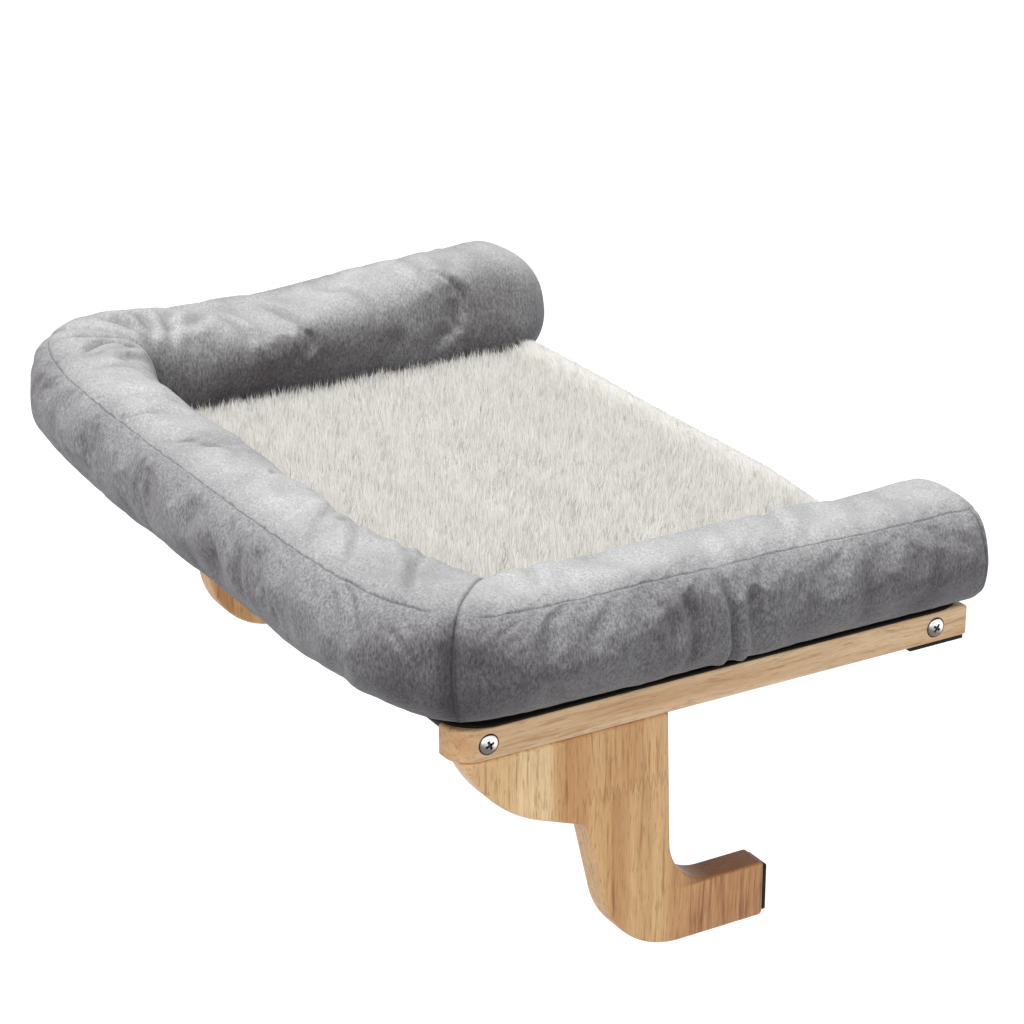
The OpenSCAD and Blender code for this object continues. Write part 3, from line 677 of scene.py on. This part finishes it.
def hills(seed, count, low, high):
    """Slow swells over (length, girth) in millimetres: a sum of seeded waves, about -1 to 1."""
    draw = np.random.default_rng(seed)
    span = draw.uniform(low, high, count)
    turn = draw.uniform(0, 2 * math.pi, count)
    phase = draw.uniform(0, 2 * math.pi, count)

    def at(length, girth):
        """The swell at these places."""
        total = np.zeros(np.broadcast(length, girth).shape)
        for s, t, p in zip(span, turn, phase):
            total += np.sin(2 * math.pi * (length * math.cos(t) + girth * math.sin(t)) / s + p)
        return total / math.sqrt(count)
    return at


def bell(value, width):
    """A smooth hump, 1 at zero, that fades over the width: exp(-(value / width)^2)."""
    return np.exp(-(value / width) ** 2)


# The stuffed section, traced once from the seam over the top: a super-ellipse, squarer above,
# rounder below outside, pressed flat where it lies on the base cloth; q is outward, w is up.
trace = seam_at + np.linspace(0, 2 * math.pi, 6001)
power = np.where(np.sin(trace) > 0, 2.9, np.where(np.cos(trace) > 0, 2.02, 2.35))
trace_q = roll_half_w * np.sign(np.cos(trace)) * np.abs(np.cos(trace)) ** (2 / power)
trace_w = (np.where(np.sin(trace) > 0, roll_up, roll_down)
           * np.sign(np.sin(trace)) * np.abs(np.sin(trace)) ** (2 / power))
trace_w = roll_flat_w + 1.2 * np.logaddexp(0, (trace_w - roll_flat_w) / 1.2)
trace_g = np.concatenate([[0], np.cumsum(np.hypot(np.diff(trace_q), np.diff(trace_w)))])
roll_girth = trace_g[-1]


def section(count, crowd):
    """Places round the roll by length of cloth from the seam: (signed girth, outward, up)."""
    t = np.arange(count) / count
    g = roll_girth * (t - crowd * np.sin(2 * math.pi * t) / (2 * math.pi))
    signed = np.where(g > roll_girth / 2, g - roll_girth, g)
    return signed, np.interp(g, trace_g, trace_q), np.interp(g, trace_g, trace_w)


def cornered(q, w, d, fuller):
    """The section at distance d from a mitre: its outward side falls well short of a sharp
    corner, and the whole of it is sewn in at the seam itself; fuller is what the top keeps."""
    share = 1 - 0.27 * bell(d, 33.0) - 0.22 * np.exp(-(d / 9.0) ** 1.5)
    share = share + fuller * soft_step(w / 26.0) * bell(d, 40.0)
    sewn = 1 - 0.045 * bell(d, 5.0)
    return np.where(q > 0, q * share, q) * sewn, np.where(w > 0, w * (0.4 * sewn + 0.6), w)


def front_roll_points(s, ring):
    """Rings fan from one mitre to the other: x = s (X + q), y = axis(s) - q, where the axis bows
    forward in the middle and back at the corners as ahead + bend |s|^power. The outside is slimmer
    towards the far corner, and uneven along its foot, where the stuffing has settled."""
    d = (1 - np.abs(s)) * roll_x
    q, w = cornered(ring[1], ring[2], d, np.where(s < 0, 0.11, 0.0))
    slimmer = (0.06 + 0.05 * bell(s + 0.93, 0.22)) * (1 - bell(d, 14.0))
    uneven = (0.05 * bell(s - 0.2, 0.2) - 0.06 * bell(s - 0.72, 0.18)
              + 0.05 * bell(s + 0.5, 0.14) - 0.04 * bell(s + 0.86, 0.08))
    q = np.where(q > 0, q * (1 - slimmer - uneven * soft_step(-w / 14.0)), q)
    w = np.where(w > 0, w * (1 + front_rise(s) / roll_up), w)
    axis = -front_ahead + (front_ahead + corner_y) * np.abs(s) ** front_bend_power
    return placed(s * (roll_x + q), axis - q, roll_z + w) * 1000


def front_rise(s):
    """The front roll stands a little higher towards its far end."""
    return 0.6 + 1.4 * soft_step((-s - 0.1) / 0.8)


def near_end(q, w):
    """Where the near roll ends at a place of its section: a boxy end with a wide upper curve,
    leaning out towards its foot and falling back towards both of its sides."""
    t = np.clip((w - near_end_low) / near_end_span, 0, 0.965)
    upright = near_end_y + near_end_bulge * (1 - t ** 4.0) ** 0.25
    upright = upright - 6.0 * (np.clip(near_end_low - w, 0, 16) / 16.0) ** 2
    return upright - 0.09 * w - 10.5 * (np.abs(q) / roll_half_w) ** 2.2


def side_roll_points(t, ring, side):
    """From the mitre plane y = corner - q straight to the free end (t from 0 to 1), then over the
    end (t from 1 to 2), where the section closes and y follows the end's own outline. The top of
    the near roll dips before its end; that of the far roll climbs along its second half."""
    d = np.minimum(t, 1) * body_l
    q, w = cornered(ring[1], ring[2], d, 0.0 if side > 0 else 0.11)
    y_here = corner_y + d
    if side > 0:
        rise = (0.6 * bell(y_here - 314.0, 14.0) - 2.0 * bell(y_here - 272.0, 42.0)
                - 1.2 - 1.6 * soft_step((y_here - 284.0) / 16.0)
                - 0.6 * soft_step((t * body_end_y - 316.0) / 14.0))
    else:
        rise = 4.6 * bell(y_here - 50.0, 38.0) + 2.2 + 11.4 * soft_step((y_here - 130.0) / 165.0)
    w = np.where(w > 0, w * (1 + rise / roll_up), w)
    e = np.clip(t - 1, 0, 1)
    start = corner_y - q
    if side > 0:
        close = np.where(e < 0.3, 1 - 0.12 * (1 - np.cos(e / 0.3 * math.pi / 2)),
                         0.88 * (1 - (e - 0.3) / 0.7))
        rim = 5.0 * (1 - np.sqrt(np.clip(1 - (np.clip(close - 0.88, 0, 1) / 0.12) ** 2, 0, 1)))
        y_end = near_end(q * close, w * close) - rim
    else:
        close = np.cos(e * math.pi / 2)
        y_end = far_end_y + far_end_bulge * np.sin(e * math.pi / 2) ** 1.1 - 0.13 * w * close
    y = start + (y_end - start) * np.minimum(t, 1)
    z = np.maximum(w * close, roll_flat_w)
    return placed(roll_x + q * close, y, roll_z + z) * 1000


stuffing_pressure, cloth_to_spare, furthest_move, settling_frames = 2.0, 0.014, 5.0, 20
cover_feel = dict(quality=6, mass=0.25, tension_stiffness=14, compression_stiffness=14, shear_stiffness=5,
                  bending_stiffness=2.5, air_damping=2.0, use_pressure=True, vertex_group_mass="held")


def stuffed(grids):
    """Fills closed grids of cloth with pressure by simulation and returns how far each point moved.

    Each grid comes with its pinned points: the seams, and the underside that lies on the base. The
    cloth is cut a little larger than its outline, so it puckers along what holds it."""
    made = []
    for name, points, pinned in grids:
        rows, columns = points.shape[:2]
        mesh = bpy.data.meshes.new(name)
        mesh.from_pydata((points.reshape(-1, 3) / 1000).tolist(), [],
                         grid_faces(rows, columns, True).tolist()
                         + [list(range(columns))[::-1], list(range((rows - 1) * columns, rows * columns))])
        cloth = stand(name, mesh)
        held = cloth.vertex_groups.new(name="held")
        held.add(np.flatnonzero(pinned.ravel()).tolist(), 1.0, "REPLACE")
        cover = cloth.modifiers.new("cover", "CLOTH")
        for label, value in cover_feel.items():
            setattr(cover.settings, label, value)
        cover.settings.uniform_pressure_force = stuffing_pressure
        cover.settings.shrink_min = -cloth_to_spare
        cover.settings.effector_weights.gravity = 0
        cover.collision_settings.use_collision = False
        cover.collision_settings.use_self_collision = False
        cover.point_cache.frame_start, cover.point_cache.frame_end = 1, settling_frames
        made.append(cloth)
    for frame_number in range(1, settling_frames + 1):
        bpy.context.scene.frame_set(frame_number)
    ready = bpy.context.evaluated_depsgraph_get()
    moves = []
    for cloth, (_, points, _) in zip(made, grids):
        after = np.empty(points.size, np.float32)
        cloth.evaluated_get(ready).data.vertices.foreach_get("co", after)
        move = after.reshape(points.shape) * 1000.0 - points
        length = np.linalg.norm(move, axis=-1, keepdims=True)
        moves.append(move * np.minimum(1, furthest_move / np.maximum(length, 1e-6)))
    for cloth in made:
        mesh = cloth.data
        bpy.data.objects.remove(cloth)
        bpy.data.meshes.remove(mesh)
    bpy.context.scene.frame_set(1)
    return moves


def spread(field, rows_at, columns_at):
    """Catmull-Rom resampling of a field at fractional rows (clamped) and columns (closed)."""
    def taps(at):
        """The four neighbours of each place, with their weights."""
        base = np.floor(at).astype(int)
        f = at - base
        weights = [((-0.5 * f + 1) * f - 0.5) * f, (1.5 * f - 2.5) * f * f + 1,
                   ((-1.5 * f + 2) * f + 0.5) * f, (0.5 * f - 0.5) * f * f]
        return [(base + k - 1, weight) for k, weight in enumerate(weights)]
    rows = sum(field[np.clip(i, 0, len(field) - 1)] * w[:, None, None] for i, w in taps(rows_at))
    return sum(rows[:, i % field.shape[1]] * w[None, :, None] for i, w in taps(columns_at))


def creases(marks, length, girth):
    """Sum of soft furrows. A mark is (length, girth, angle, reach, width, depth, bow): a line through
    that place, running at the angle, curved by bow, that fades out over its reach."""
    total = np.zeros(np.broadcast(length, girth).shape)
    for l0, g0, angle, reach, width, depth, bow in marks:
        a = math.radians(angle)
        dx, dy = length - l0, girth - g0
        along = dx * math.cos(a) + dy * math.sin(a)
        aside = -dx * math.sin(a) + dy * math.cos(a) - bow * (along / reach) ** 2
        fade = np.exp(-(along / reach) ** 4)
        total -= depth * fade * (bell(aside, width) - 0.55 * bell(np.abs(aside) - 1.9 * width, width))
    return total


def relief(d, girth, seed, marks):
    """How far the cover stands out of the stuffed shape, in millimetres: slow swells, the
    topstitched seam with its puckers, puckers beside the mitre, and the listed creases."""
    free = 1 - bell(d, 13.0)
    calm = (1 - 0.75 * bell(girth, 20.0)) * (1 - 0.6 * soft_step((-girth - 60.0) / 26.0))
    swell = hills(seed, 7, 60, 150)(d, girth) * 0.7 + hills(seed + 1, 9, 24, 60)(d, girth) * 0.28
    fine = hills(seed + 2, 12, 7, 17)(d, girth) * 0.035
    gather = hills(seed + 3, 10, 9, 24)(d, 0 * girth) * bell(np.abs(girth) - 7.0, 6.0) * 0.22
    seam = -1.1 * bell(girth, 6.5) - 0.5 * bell(girth, 0.8)
    stitches = 0.18 * np.cos(2 * math.pi * d / 3.6) * bell(girth, 1.8)
    pucker = hills(seed + 4, 8, 14, 34)(0 * d, girth) * bell(d, 26.0) * 0.9
    total = (swell * calm + fine + gather + pucker + stitches + creases(marks, d, girth)) * free
    total += seam * (0.35 + 0.65 * free)
    from_seam = np.where(girth < 0, girth + roll_girth, girth)
    under = soft_step((from_seam - 118.0) / 12.0) * soft_step((172.0 - from_seam) / 12.0)
    return total * (1 - under)


def outward(points):
    """Unit normals of a grid that is closed round its columns."""
    across = (np.roll(points, -1, 1) - np.roll(points, 1, 1)) / 2
    return unit(np.cross(across, np.gradient(points, axis=0)))


def painted_top_light_of(points, girth):
    """Painted light from above, 0 to 1: more where the surface faces up, less on the outside below the
    seam.
    """
    above = soft_step((girth + 11.0) / 32.0)
    return soft_step((outward(points)[..., 2] + 0.22) / 1.12) * (0.38 + 0.62 * above)


def seam_shade_of(d, girth):
    """Painted shade along the groove of the top seam, and of the mitre seam where it runs down the outside,
    0 to 1.
    """
    top = 0.55 * bell(girth, 0.52) * soft_step((d - 12.0) / 8.0)
    outside = soft_step((4.0 - girth) / 10.0)
    mitre = (0.04 + 0.5 * outside) * bell(d, 0.9 + 0.9 * outside)
    return np.clip(np.maximum(top, mitre), 0, 1)


def painted_shade_of(d, girth, marks):
    """Painted shade, 0 to 1: beside the mitre seam on the outside, low down near the corner, and in every
    crease."""
    beside = soft_step((-6.0 - girth) / 16.0) * (0.34 * bell(d, 30.0) + 0.3 * bell(d, 7.0))
    low = 0.22 * bell(d, 90.0) * soft_step((-40.0 - girth) / 30.0)
    return np.clip(beside + low + 0.13 * np.clip(-creases(marks, d, girth), 0, 3), 0, 1)


plush, tree, shader = finish_of("plush", (0.30, 0.30, 0.31), 0.88, Sheen_Weight=0.33, Sheen_Roughness=0.42,
                                Sheen_Tint=(0.88, 0.88, 0.91, 1), Specular_IOR_Level=0.15)
where = object_at(tree)
painted_top_light, seam, painted_shade = (kept(tree, label) for label in ("painted_top_light", "seam", "painted_shade"))
hanging = stretched(tree, where, (1.0, 1.0, 0.55))
broad, patches = noise(tree, hanging, 17.0, 2.0, 0.45), noise(tree, hanging, 70.0, 4.0, 0.6)
tufts = noise(tree, stretched(tree, where, (1.0, 1.0, 0.42)), 760.0, 3.0, 0.75, 0.3)
streaks = noise(tree, stretched(tree, where, (1.0, 1.0, 0.50)), 300.0, 2.0, 0.6)
brushed = sums(tree, "ADD", sums(tree, "MULTIPLY", broad, 0.78), sums(tree, "MULTIPLY", patches, 0.22))
brushed = remap(tree, brushed, 0.33, 0.66)
# Painted light: faces turned up take the light top tone and the rest the shaded side tone, mixed by the
# painted top light kept on the mesh; where it is high the tuft pattern is fainter.
shaded_side_tone = ramp(tree, brushed, [(0.0, (0.122, 0.111, 0.123)), (0.35, (0.152, 0.143, 0.154)),
                                 (0.65, (0.182, 0.176, 0.185)), (1.0, (0.220, 0.216, 0.225))])
lit_top_tone = ramp(tree, brushed,
                [(0.0, (0.43, 0.43, 0.435)), (0.4, (0.53, 0.53, 0.535)), (1.0, (0.62, 0.62, 0.625))])
# Where the painted shade mark is high the tone goes towards near black: painted shade.
tone = mix_colour(tree, painted_shade, mix_colour(tree, painted_top_light, shaded_side_tone, lit_top_tone), (0.040, 0.036, 0.041))
flatter = sums(tree, "SUBTRACT", 1.0, sums(tree, "MULTIPLY", painted_top_light, 0.5))
for pattern, stops in (
        (tufts, [(0.36, (0.60, 0.60, 0.61)), (0.50, (1.0, 1.0, 1.0)), (0.64, (1.44, 1.44, 1.44))]),
        (streaks, [(0.36, (0.92, 0.92, 0.93)), (0.50, (1.0, 1.0, 1.0)), (0.64, (1.08, 1.08, 1.08))])):
    tone = mix_colour(tree, flatter, tone, ramp(tree, pattern, stops), "MULTIPLY")
# Painted shade along the seam grooves.
tone = mix_colour(tree, seam, tone, (0.045, 0.044, 0.048))
surface(tree, shader, tone, sums(tree, "ADD", tufts, sums(tree, "MULTIPLY", patches, 0.35)), 0.6, 0.0012)


def plush_roll(name, points, amount, girth, seam_shade, painted_shade, order, node_name):
    """Lifts a grid of rings by its relief along its normals, closes it with end faces, keeps the painted
    top light, the painted seam shade and the painted shade on it, and dresses it. The order, 1 or -1, runs
    the rings so that the faces look out."""
    points, amount, girth, seam_shade, painted_shade = (
        values[:, ::order] for values in (points, amount, girth, seam_shade, painted_shade))
    points = points + outward(points) * amount[..., None]
    rows, columns = points.shape[:2]
    verts = np.concatenate([points.reshape(-1, 3), [points[0].mean(0), points[-1].mean(0)]])
    ring = np.arange(columns)
    first = np.stack([np.full(columns, rows * columns), (ring + 1) % columns, ring], -1)
    last = (rows - 1) * columns + first[:, ::-1]
    last[:, 2] = rows * columns + 1
    made = solid_of(name, verts / 1000, grid_faces(rows, columns, True), np.concatenate([first, last]))
    for label, values in (("painted_top_light", painted_top_light_of(points, girth)), ("seam", seam_shade), ("painted_shade", painted_shade)):
        keep_on(made.data, label, np.concatenate([values.ravel(), values[0, :1], values[-1, :1]]))
    made.data.materials.append(plush)
    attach(made, "bed")
    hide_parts(node_name)


# Creases of the front roll's near and far half and of the two side rolls. The lengths count from
# the mitre and the girths from the seam, which is 0; below it on the outside they are negative.
front_marks = [
    (170, -30, 84, 22, 5.0, 1.8, 4), (120, -40, 95, 26, 7.0, 1.2, -4),
    (235, -42, 92, 26, 8.0, 1.0, 3), (70, -38, 86, 24, 7.0, 1.3, -3), (40, 30, 70, 22, 4.0, 1.8, 4),
    (90, 26, 60, 20, 4.0, 1.6, -4), (130, 32, 72, 22, 5.0, 1.4, 3), (60, 48, 40, 18, 4.0, 1.6, 0)]
far_marks = [
    (14, 36, 118, 24, 3.2, 3.8, 3), (25, 39, 132, 24, 3.4, 4.4, -3), (38, 41, 146, 24, 3.6, 3.4, 3),
    (54, 44, 156, 22, 4.0, 2.4, -3), (88, 38, 80, 22, 5.0, 1.8, 3), (150, -36, 88, 26, 8.0, 1.0, 4),
    (100, -38, 94, 24, 7.0, 1.0, -4), (210, -38, 86, 26, 8.0, 1.0, 3), (178, 15, 70, 14, 3.0, 2.2, 3),
    (240, 28, 35, 24, 3.5, 2.4, -4)]
near_arm_marks = [
    (165, -50, 88, 42, 3.2, 4.4, 8), (142, -34, 92, 24, 4.5, 2.6, 6), (129, -32, 96, 20, 4.0, 1.8, 5),
    (60, -44, 96, 26, 6.0, 1.5, -3), (178, -46, 90, 28, 7.0, 1.6, 4), (245, -40, 84, 30, 6.0, 1.8, -4),
    (40, 34, 120, 18, 4.0, 1.5, 3), (200, 34, 100, 20, 5.0, 1.2, 0), (290, -30, 70, 20, 4.0, 1.4, 3)]
far_arm_marks = [
    (12, 38, 116, 24, 3.2, 4.0, -3), (24, 41, 132, 26, 3.4, 4.4, 3), (38, 43, 146, 24, 3.8, 3.2, -3),
    (56, 46, 158, 24, 4.2, 2.4, 3), (82, 50, 100, 24, 5.0, 2.0, 3),
    (130, 52, 92, 26, 6.0, 1.8, 0), (190, 46, 86, 26, 6.0, 1.5, 3), (250, 40, 96, 24, 6.0, 1.5, -3)]

coarse, fine = section(coarse_ring, 0.0), section(fine_ring, 0.6)
columns_at = np.where(fine[0] < 0, fine[0] + roll_girth, fine[0]) * coarse_ring / roll_girth
cap_l, cap_reach = 46.0, 0.97


def stations(length, gap):
    """Evenly spaced shares of a length."""
    return np.linspace(0, 1, int(length / gap) + 1)[:, None]


def end_stations(gap):
    """Stations along a side roll and over its end, 0 to 1 and on to just short of 2."""
    return np.concatenate([stations(body_l, gap), 1 + cap_reach * stations(cap_l, gap)[1:]])


coarse_s, fine_s = 2 * stations(2 * roll_x, coarse_gap) - 1, 2 * stations(2 * roll_x, fine_gap) - 1
coarse_t, fine_t = end_stations(coarse_gap), end_stations(fine_gap)
fixed = ((coarse[2] < -35.0) | (np.arange(coarse_ring) == 0))[None, :]
grids = [("front_cloth", front_roll_points(coarse_s, coarse)[:, ::-1],
          (fixed | (np.abs(coarse_s) > 0.999))[:, ::-1])]
for side in (1, -1):
    grids.append(("side_cloth", side_roll_points(coarse_t, coarse, side)[:, ::-1],
                  (fixed | (coarse_t < 0.001) | (coarse_t > 1.9))[:, ::-1]))
from_mitre = [(1 - np.abs(coarse_s)) * roll_x, coarse_t * body_l, coarse_t * body_l]
moves = [move[:, ::-1] * (0.22 + 0.78 * soft_step((coarse[2][None, :, None] + 26.0) / 26.0))
         * (1 - 0.7 * bell(away[..., None], 16.0))
         for move, away in zip(stuffed(grids), from_mitre)]

girth = fine[0][None, :]
d = (1 - np.abs(fine_s)) * roll_x
rows_at = np.interp(fine_s[:, 0], coarse_s[:, 0], np.arange(len(coarse_s)))
near = soft_step(fine_s * 4 + 0.5)
amount = relief(d, girth, 11, front_marks) * near + relief(d, girth, 31, far_marks) * (1 - near)
painted_shade = painted_shade_of(d, girth, front_marks) * near + painted_shade_of(d, girth, far_marks) * (1 - near)
# Painted shade on the outside below the seam along the front roll's near half.
painted_shade = np.maximum(painted_shade, 0.32 * soft_step((fine_s - 0.25) / 0.7) * soft_step((-girth - 8.0) / 30.0))
points = front_roll_points(fine_s, fine) + spread(moves[0], rows_at, columns_at)
plush_roll("front_roll", points, amount, girth, seam_shade_of(d, girth), painted_shade, -1, "front_bolster")

rows_at = np.interp(fine_t[:, 0], coarse_t[:, 0], np.arange(len(coarse_t)))
e = np.clip(fine_t - 1, 0, 1)
d = np.minimum(fine_t, 1) * body_l + e * cap_l
for side, name, marks, seed, move in ((1, "right", near_arm_marks, 57, moves[1]),
                                      (-1, "left", far_arm_marks, 83, moves[2])):
    amount = relief(d, girth, seed, marks) * (1 - soft_step(e * 3.3))
    shade = seam_shade_of(d, girth) * (1 - soft_step(e * 8))
    painted_shade = painted_shade_of(d, girth, marks)
    points = side_roll_points(fine_t, fine, side) + spread(move, rows_at, columns_at)
    if side > 0:
        # The near roll's end panel seam: a groove, with painted shade along it.
        outside = soft_step((girth + 112.0) / 12.0) * soft_step((2.0 - girth) / 4.0)
        amount = amount - 1.2 * bell(e - 0.10, 0.03) * outside
        shade = np.maximum(shade, 0.7 * bell(e - 0.10, 0.018) * outside)
    plush_roll(name + "_roll", points * np.array([side, 1, 1]), amount, girth, shade, painted_shade, -side,
               name + "_bolster")

# ---------------------------------------------------------------------------
# Mat: a padded panel of pale faux fur fills the space between the rolls and
# runs over a soft edge at the window side. Its pile is made as real blades.
mat_half_w, mat_y0, mat_y1 = 228.5, 24.0, 352.0
mat_bottom, mat_wall, mat_top, mat_crown, mat_edge = 22.0, 26.0, 36.5, 3.6, 8.5


def mat_height(x, y):
    """Top of the padding: flat, crowned a little, with a fuller hem at the window side, and rolled
    over at the edges by a quarter round, sqrt(1 - (1 - s)^2)."""
    def rolled(inside):
        """The quarter round, 0 at the rim and 1 further in."""
        return np.sqrt(np.clip(1 - (1 - np.clip(inside / mat_edge, 0, 1)) ** 2, 0, 1))

    edge = rolled(mat_half_w - np.abs(x)) * rolled(np.minimum(mat_y1 - y, y - mat_y0))
    off_middle = (2 * y - mat_y0 - mat_y1) / (mat_y1 - mat_y0)
    crown = mat_crown * (1 - (x / mat_half_w) ** 2) * (1 - off_middle ** 2)
    inner = soft_step((mat_y1 - 6.0 - y) / 40.0)
    hem = 6.6 + 1.8 * soft_step((-x - 40.0) / 120.0) - 8.0 * soft_step((x - 65.0) / 95.0)
    uneven = hills(5, 8, 60, 140)(x, y) * 0.9 * inner + hem * bell(y - mat_y1 + 9.0, 11.0)
    return mat_wall + (mat_top - mat_wall + crown + uneven) * edge


def edge_spaced(low, high, count):
    """Places between low and high that crowd towards both ends."""
    t = np.linspace(0, 1, count)
    return low + (high - low) * (0.5 * t + 0.25 * (1 - np.cos(math.pi * t)))


gx, gy = np.meshgrid(edge_spaced(-mat_half_w, mat_half_w, 150), edge_spaced(mat_y0, mat_y1, 120))
top = placed(gx, gy, mat_height(gx, gy))
low = placed(gx, gy, mat_bottom + 0 * gx)
rows, columns = gx.shape
top_quads = grid_faces(rows, columns, False)
low_quads = grid_faces(rows, columns, False)[:, ::-1] + rows * columns
rim = np.concatenate([np.arange(columns), (np.arange(1, rows) + 1) * columns - 1,
                      rows * columns - 1 - np.arange(1, columns), (np.arange(rows - 2, 0, -1)) * columns])
rim_next = np.roll(rim, -1)
walls = np.stack([rim, rim + rows * columns, rim_next + rows * columns, rim_next], -1)
mat_pad = solid_of("mat_pad", np.concatenate([top.reshape(-1, 3), low.reshape(-1, 3)]),
                   np.concatenate([top_quads, low_quads, walls]))
backing, tree, shader = finish_of("fur_backing", (0.72, 0.70, 0.66), 0.9, Sheen_Weight=0.3,
                                  Sheen_Roughness=0.4)
roots = noise(tree, object_at(tree), 800.0, 3.0)
surface(tree, shader, ramp(tree, roots, [(0.3, (0.80, 0.78, 0.73)), (0.7, (0.92, 0.905, 0.86))]), roots,
        0.6, 0.0008)
mat_pad.data.materials.append(backing)
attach(mat_pad, "bed")
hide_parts("mat")

fur_fibre, tree, shader = finish_of("fur_fibre", (0.66, 0.65, 0.62), 0.75, Sheen_Weight=0.15,
                                    Sheen_Roughness=0.4)
surface(tree, shader, ramp(tree, kept(tree, "tone"), [
    (0.0, (0.50, 0.47, 0.405)), (0.45, (0.75, 0.72, 0.655)), (0.75, (0.87, 0.85, 0.795)),
    (1.0, (0.95, 0.945, 0.93))]))
fur_pieces, blades_each, long_share = 5, 48000, 0.16
blade_lengths, blade_radii = (3.6, 6.4), (0.20, 0.34)


def fur_blades(name, seed):
    """Needles of three sides and a root face, so that each is closed. A needle leans by a slow field,
    so the pile lies in tufts, and by its own draw; the pile is short and smooth at the hem."""
    draw, count = np.random.default_rng(seed), blades_each
    x = draw.uniform(-mat_half_w + 1.0, mat_half_w - 1.0, count)
    y = draw.uniform(mat_y0 + 1.5, mat_y1 - 0.8, count)
    z = mat_height(x, y) - 0.8
    slope_x = mat_height(x + 0.5, y) - mat_height(x - 0.5, y)
    slope_y = mat_height(x, y + 0.5) - mat_height(x, y - 0.5)
    up = unit(np.stack([-np.clip(slope_x, -3, 3), -np.clip(slope_y, -3, 3), np.ones(count)], -1))
    hem = soft_step((mat_y1 - 4.0 - y) / 16.0)
    lean = np.stack([0.15 * hills(71, 12, 9, 30)(x, y) + draw.normal(0, 0.13, count) - 0.16,
                     0.15 * hills(72, 12, 9, 30)(x, y) + draw.normal(0, 0.13, count) + 0.10,
                     np.zeros(count)], -1)
    way = unit(up + lean)
    long = (draw.uniform(0, 1, count) < long_share) * hem * soft_step((mat_half_w - 2.0 - np.abs(x)) / 9.0)
    reach = (draw.uniform(*blade_lengths, count) * (0.3 + 0.7 * hem) * (1 + long))[:, None]
    thick = (draw.uniform(*blade_radii, count) * (1 + 0.35 * long))[:, None]
    root = np.stack([x, y, z], -1)
    turn = draw.uniform(0, 2 * math.pi, count)
    corners = [root + thick * np.stack([np.cos(turn + k), np.sin(turn + k), 0 * turn], -1)
               for k in (0, 2 * math.pi / 3, 4 * math.pi / 3)]
    needles = np.stack([*corners, root + way * reach], 1)
    points = placed(needles[..., 0], needles[..., 1], needles[..., 2]).reshape(-1, 3)
    mesh = bpy.data.meshes.new(name)
    mesh.vertices.add(count * 4)
    mesh.vertices.foreach_set("co", points.ravel())
    loops = ((np.arange(count) * 4)[:, None] + np.array([[0, 1, 3, 1, 2, 3, 2, 0, 3, 2, 1, 0]])).ravel()
    mesh.loops.add(len(loops))
    mesh.loops.foreach_set("vertex_index", loops)
    mesh.polygons.add(count * 4)
    mesh.polygons.foreach_set("loop_start", np.arange(count * 4) * 3)
    mesh.polygons.foreach_set("loop_total", np.full(count * 4, 3))
    mesh.polygons.foreach_set("use_smooth", np.ones(count * 4, bool))
    own = draw.normal(0, 1, count) * (0.12 + 0.14 * long) + 0.05 * hills(73, 10, 10, 60)(x, y)
    own = own + 0.22 * (1 - hem)
    # The needle's tone: a random share and a lighter hem; the root is darker than the tip, which is painted
    # shade deep in the pile.
    keep_on(mesh, "tone", np.clip(own[:, None] + np.array([0.50, 0.50, 0.50, 0.76]), 0, 1))
    mesh.update(calc_edges=True)
    side = needles - np.repeat(root[:, None], 4, 1)
    side[:, 3] = 0
    soft = unit(0.45 * unit(side) + up[:, None])
    mesh.normals_split_custom_set_from_vertices(soft.reshape(-1, 3))
    mesh.materials.append(fur_fibre)
    made = stand(name, mesh)
    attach(made, "bed")


for index in range(fur_pieces):
    fur_blades("mat_fur_%d" % (index + 1), 900 + index)
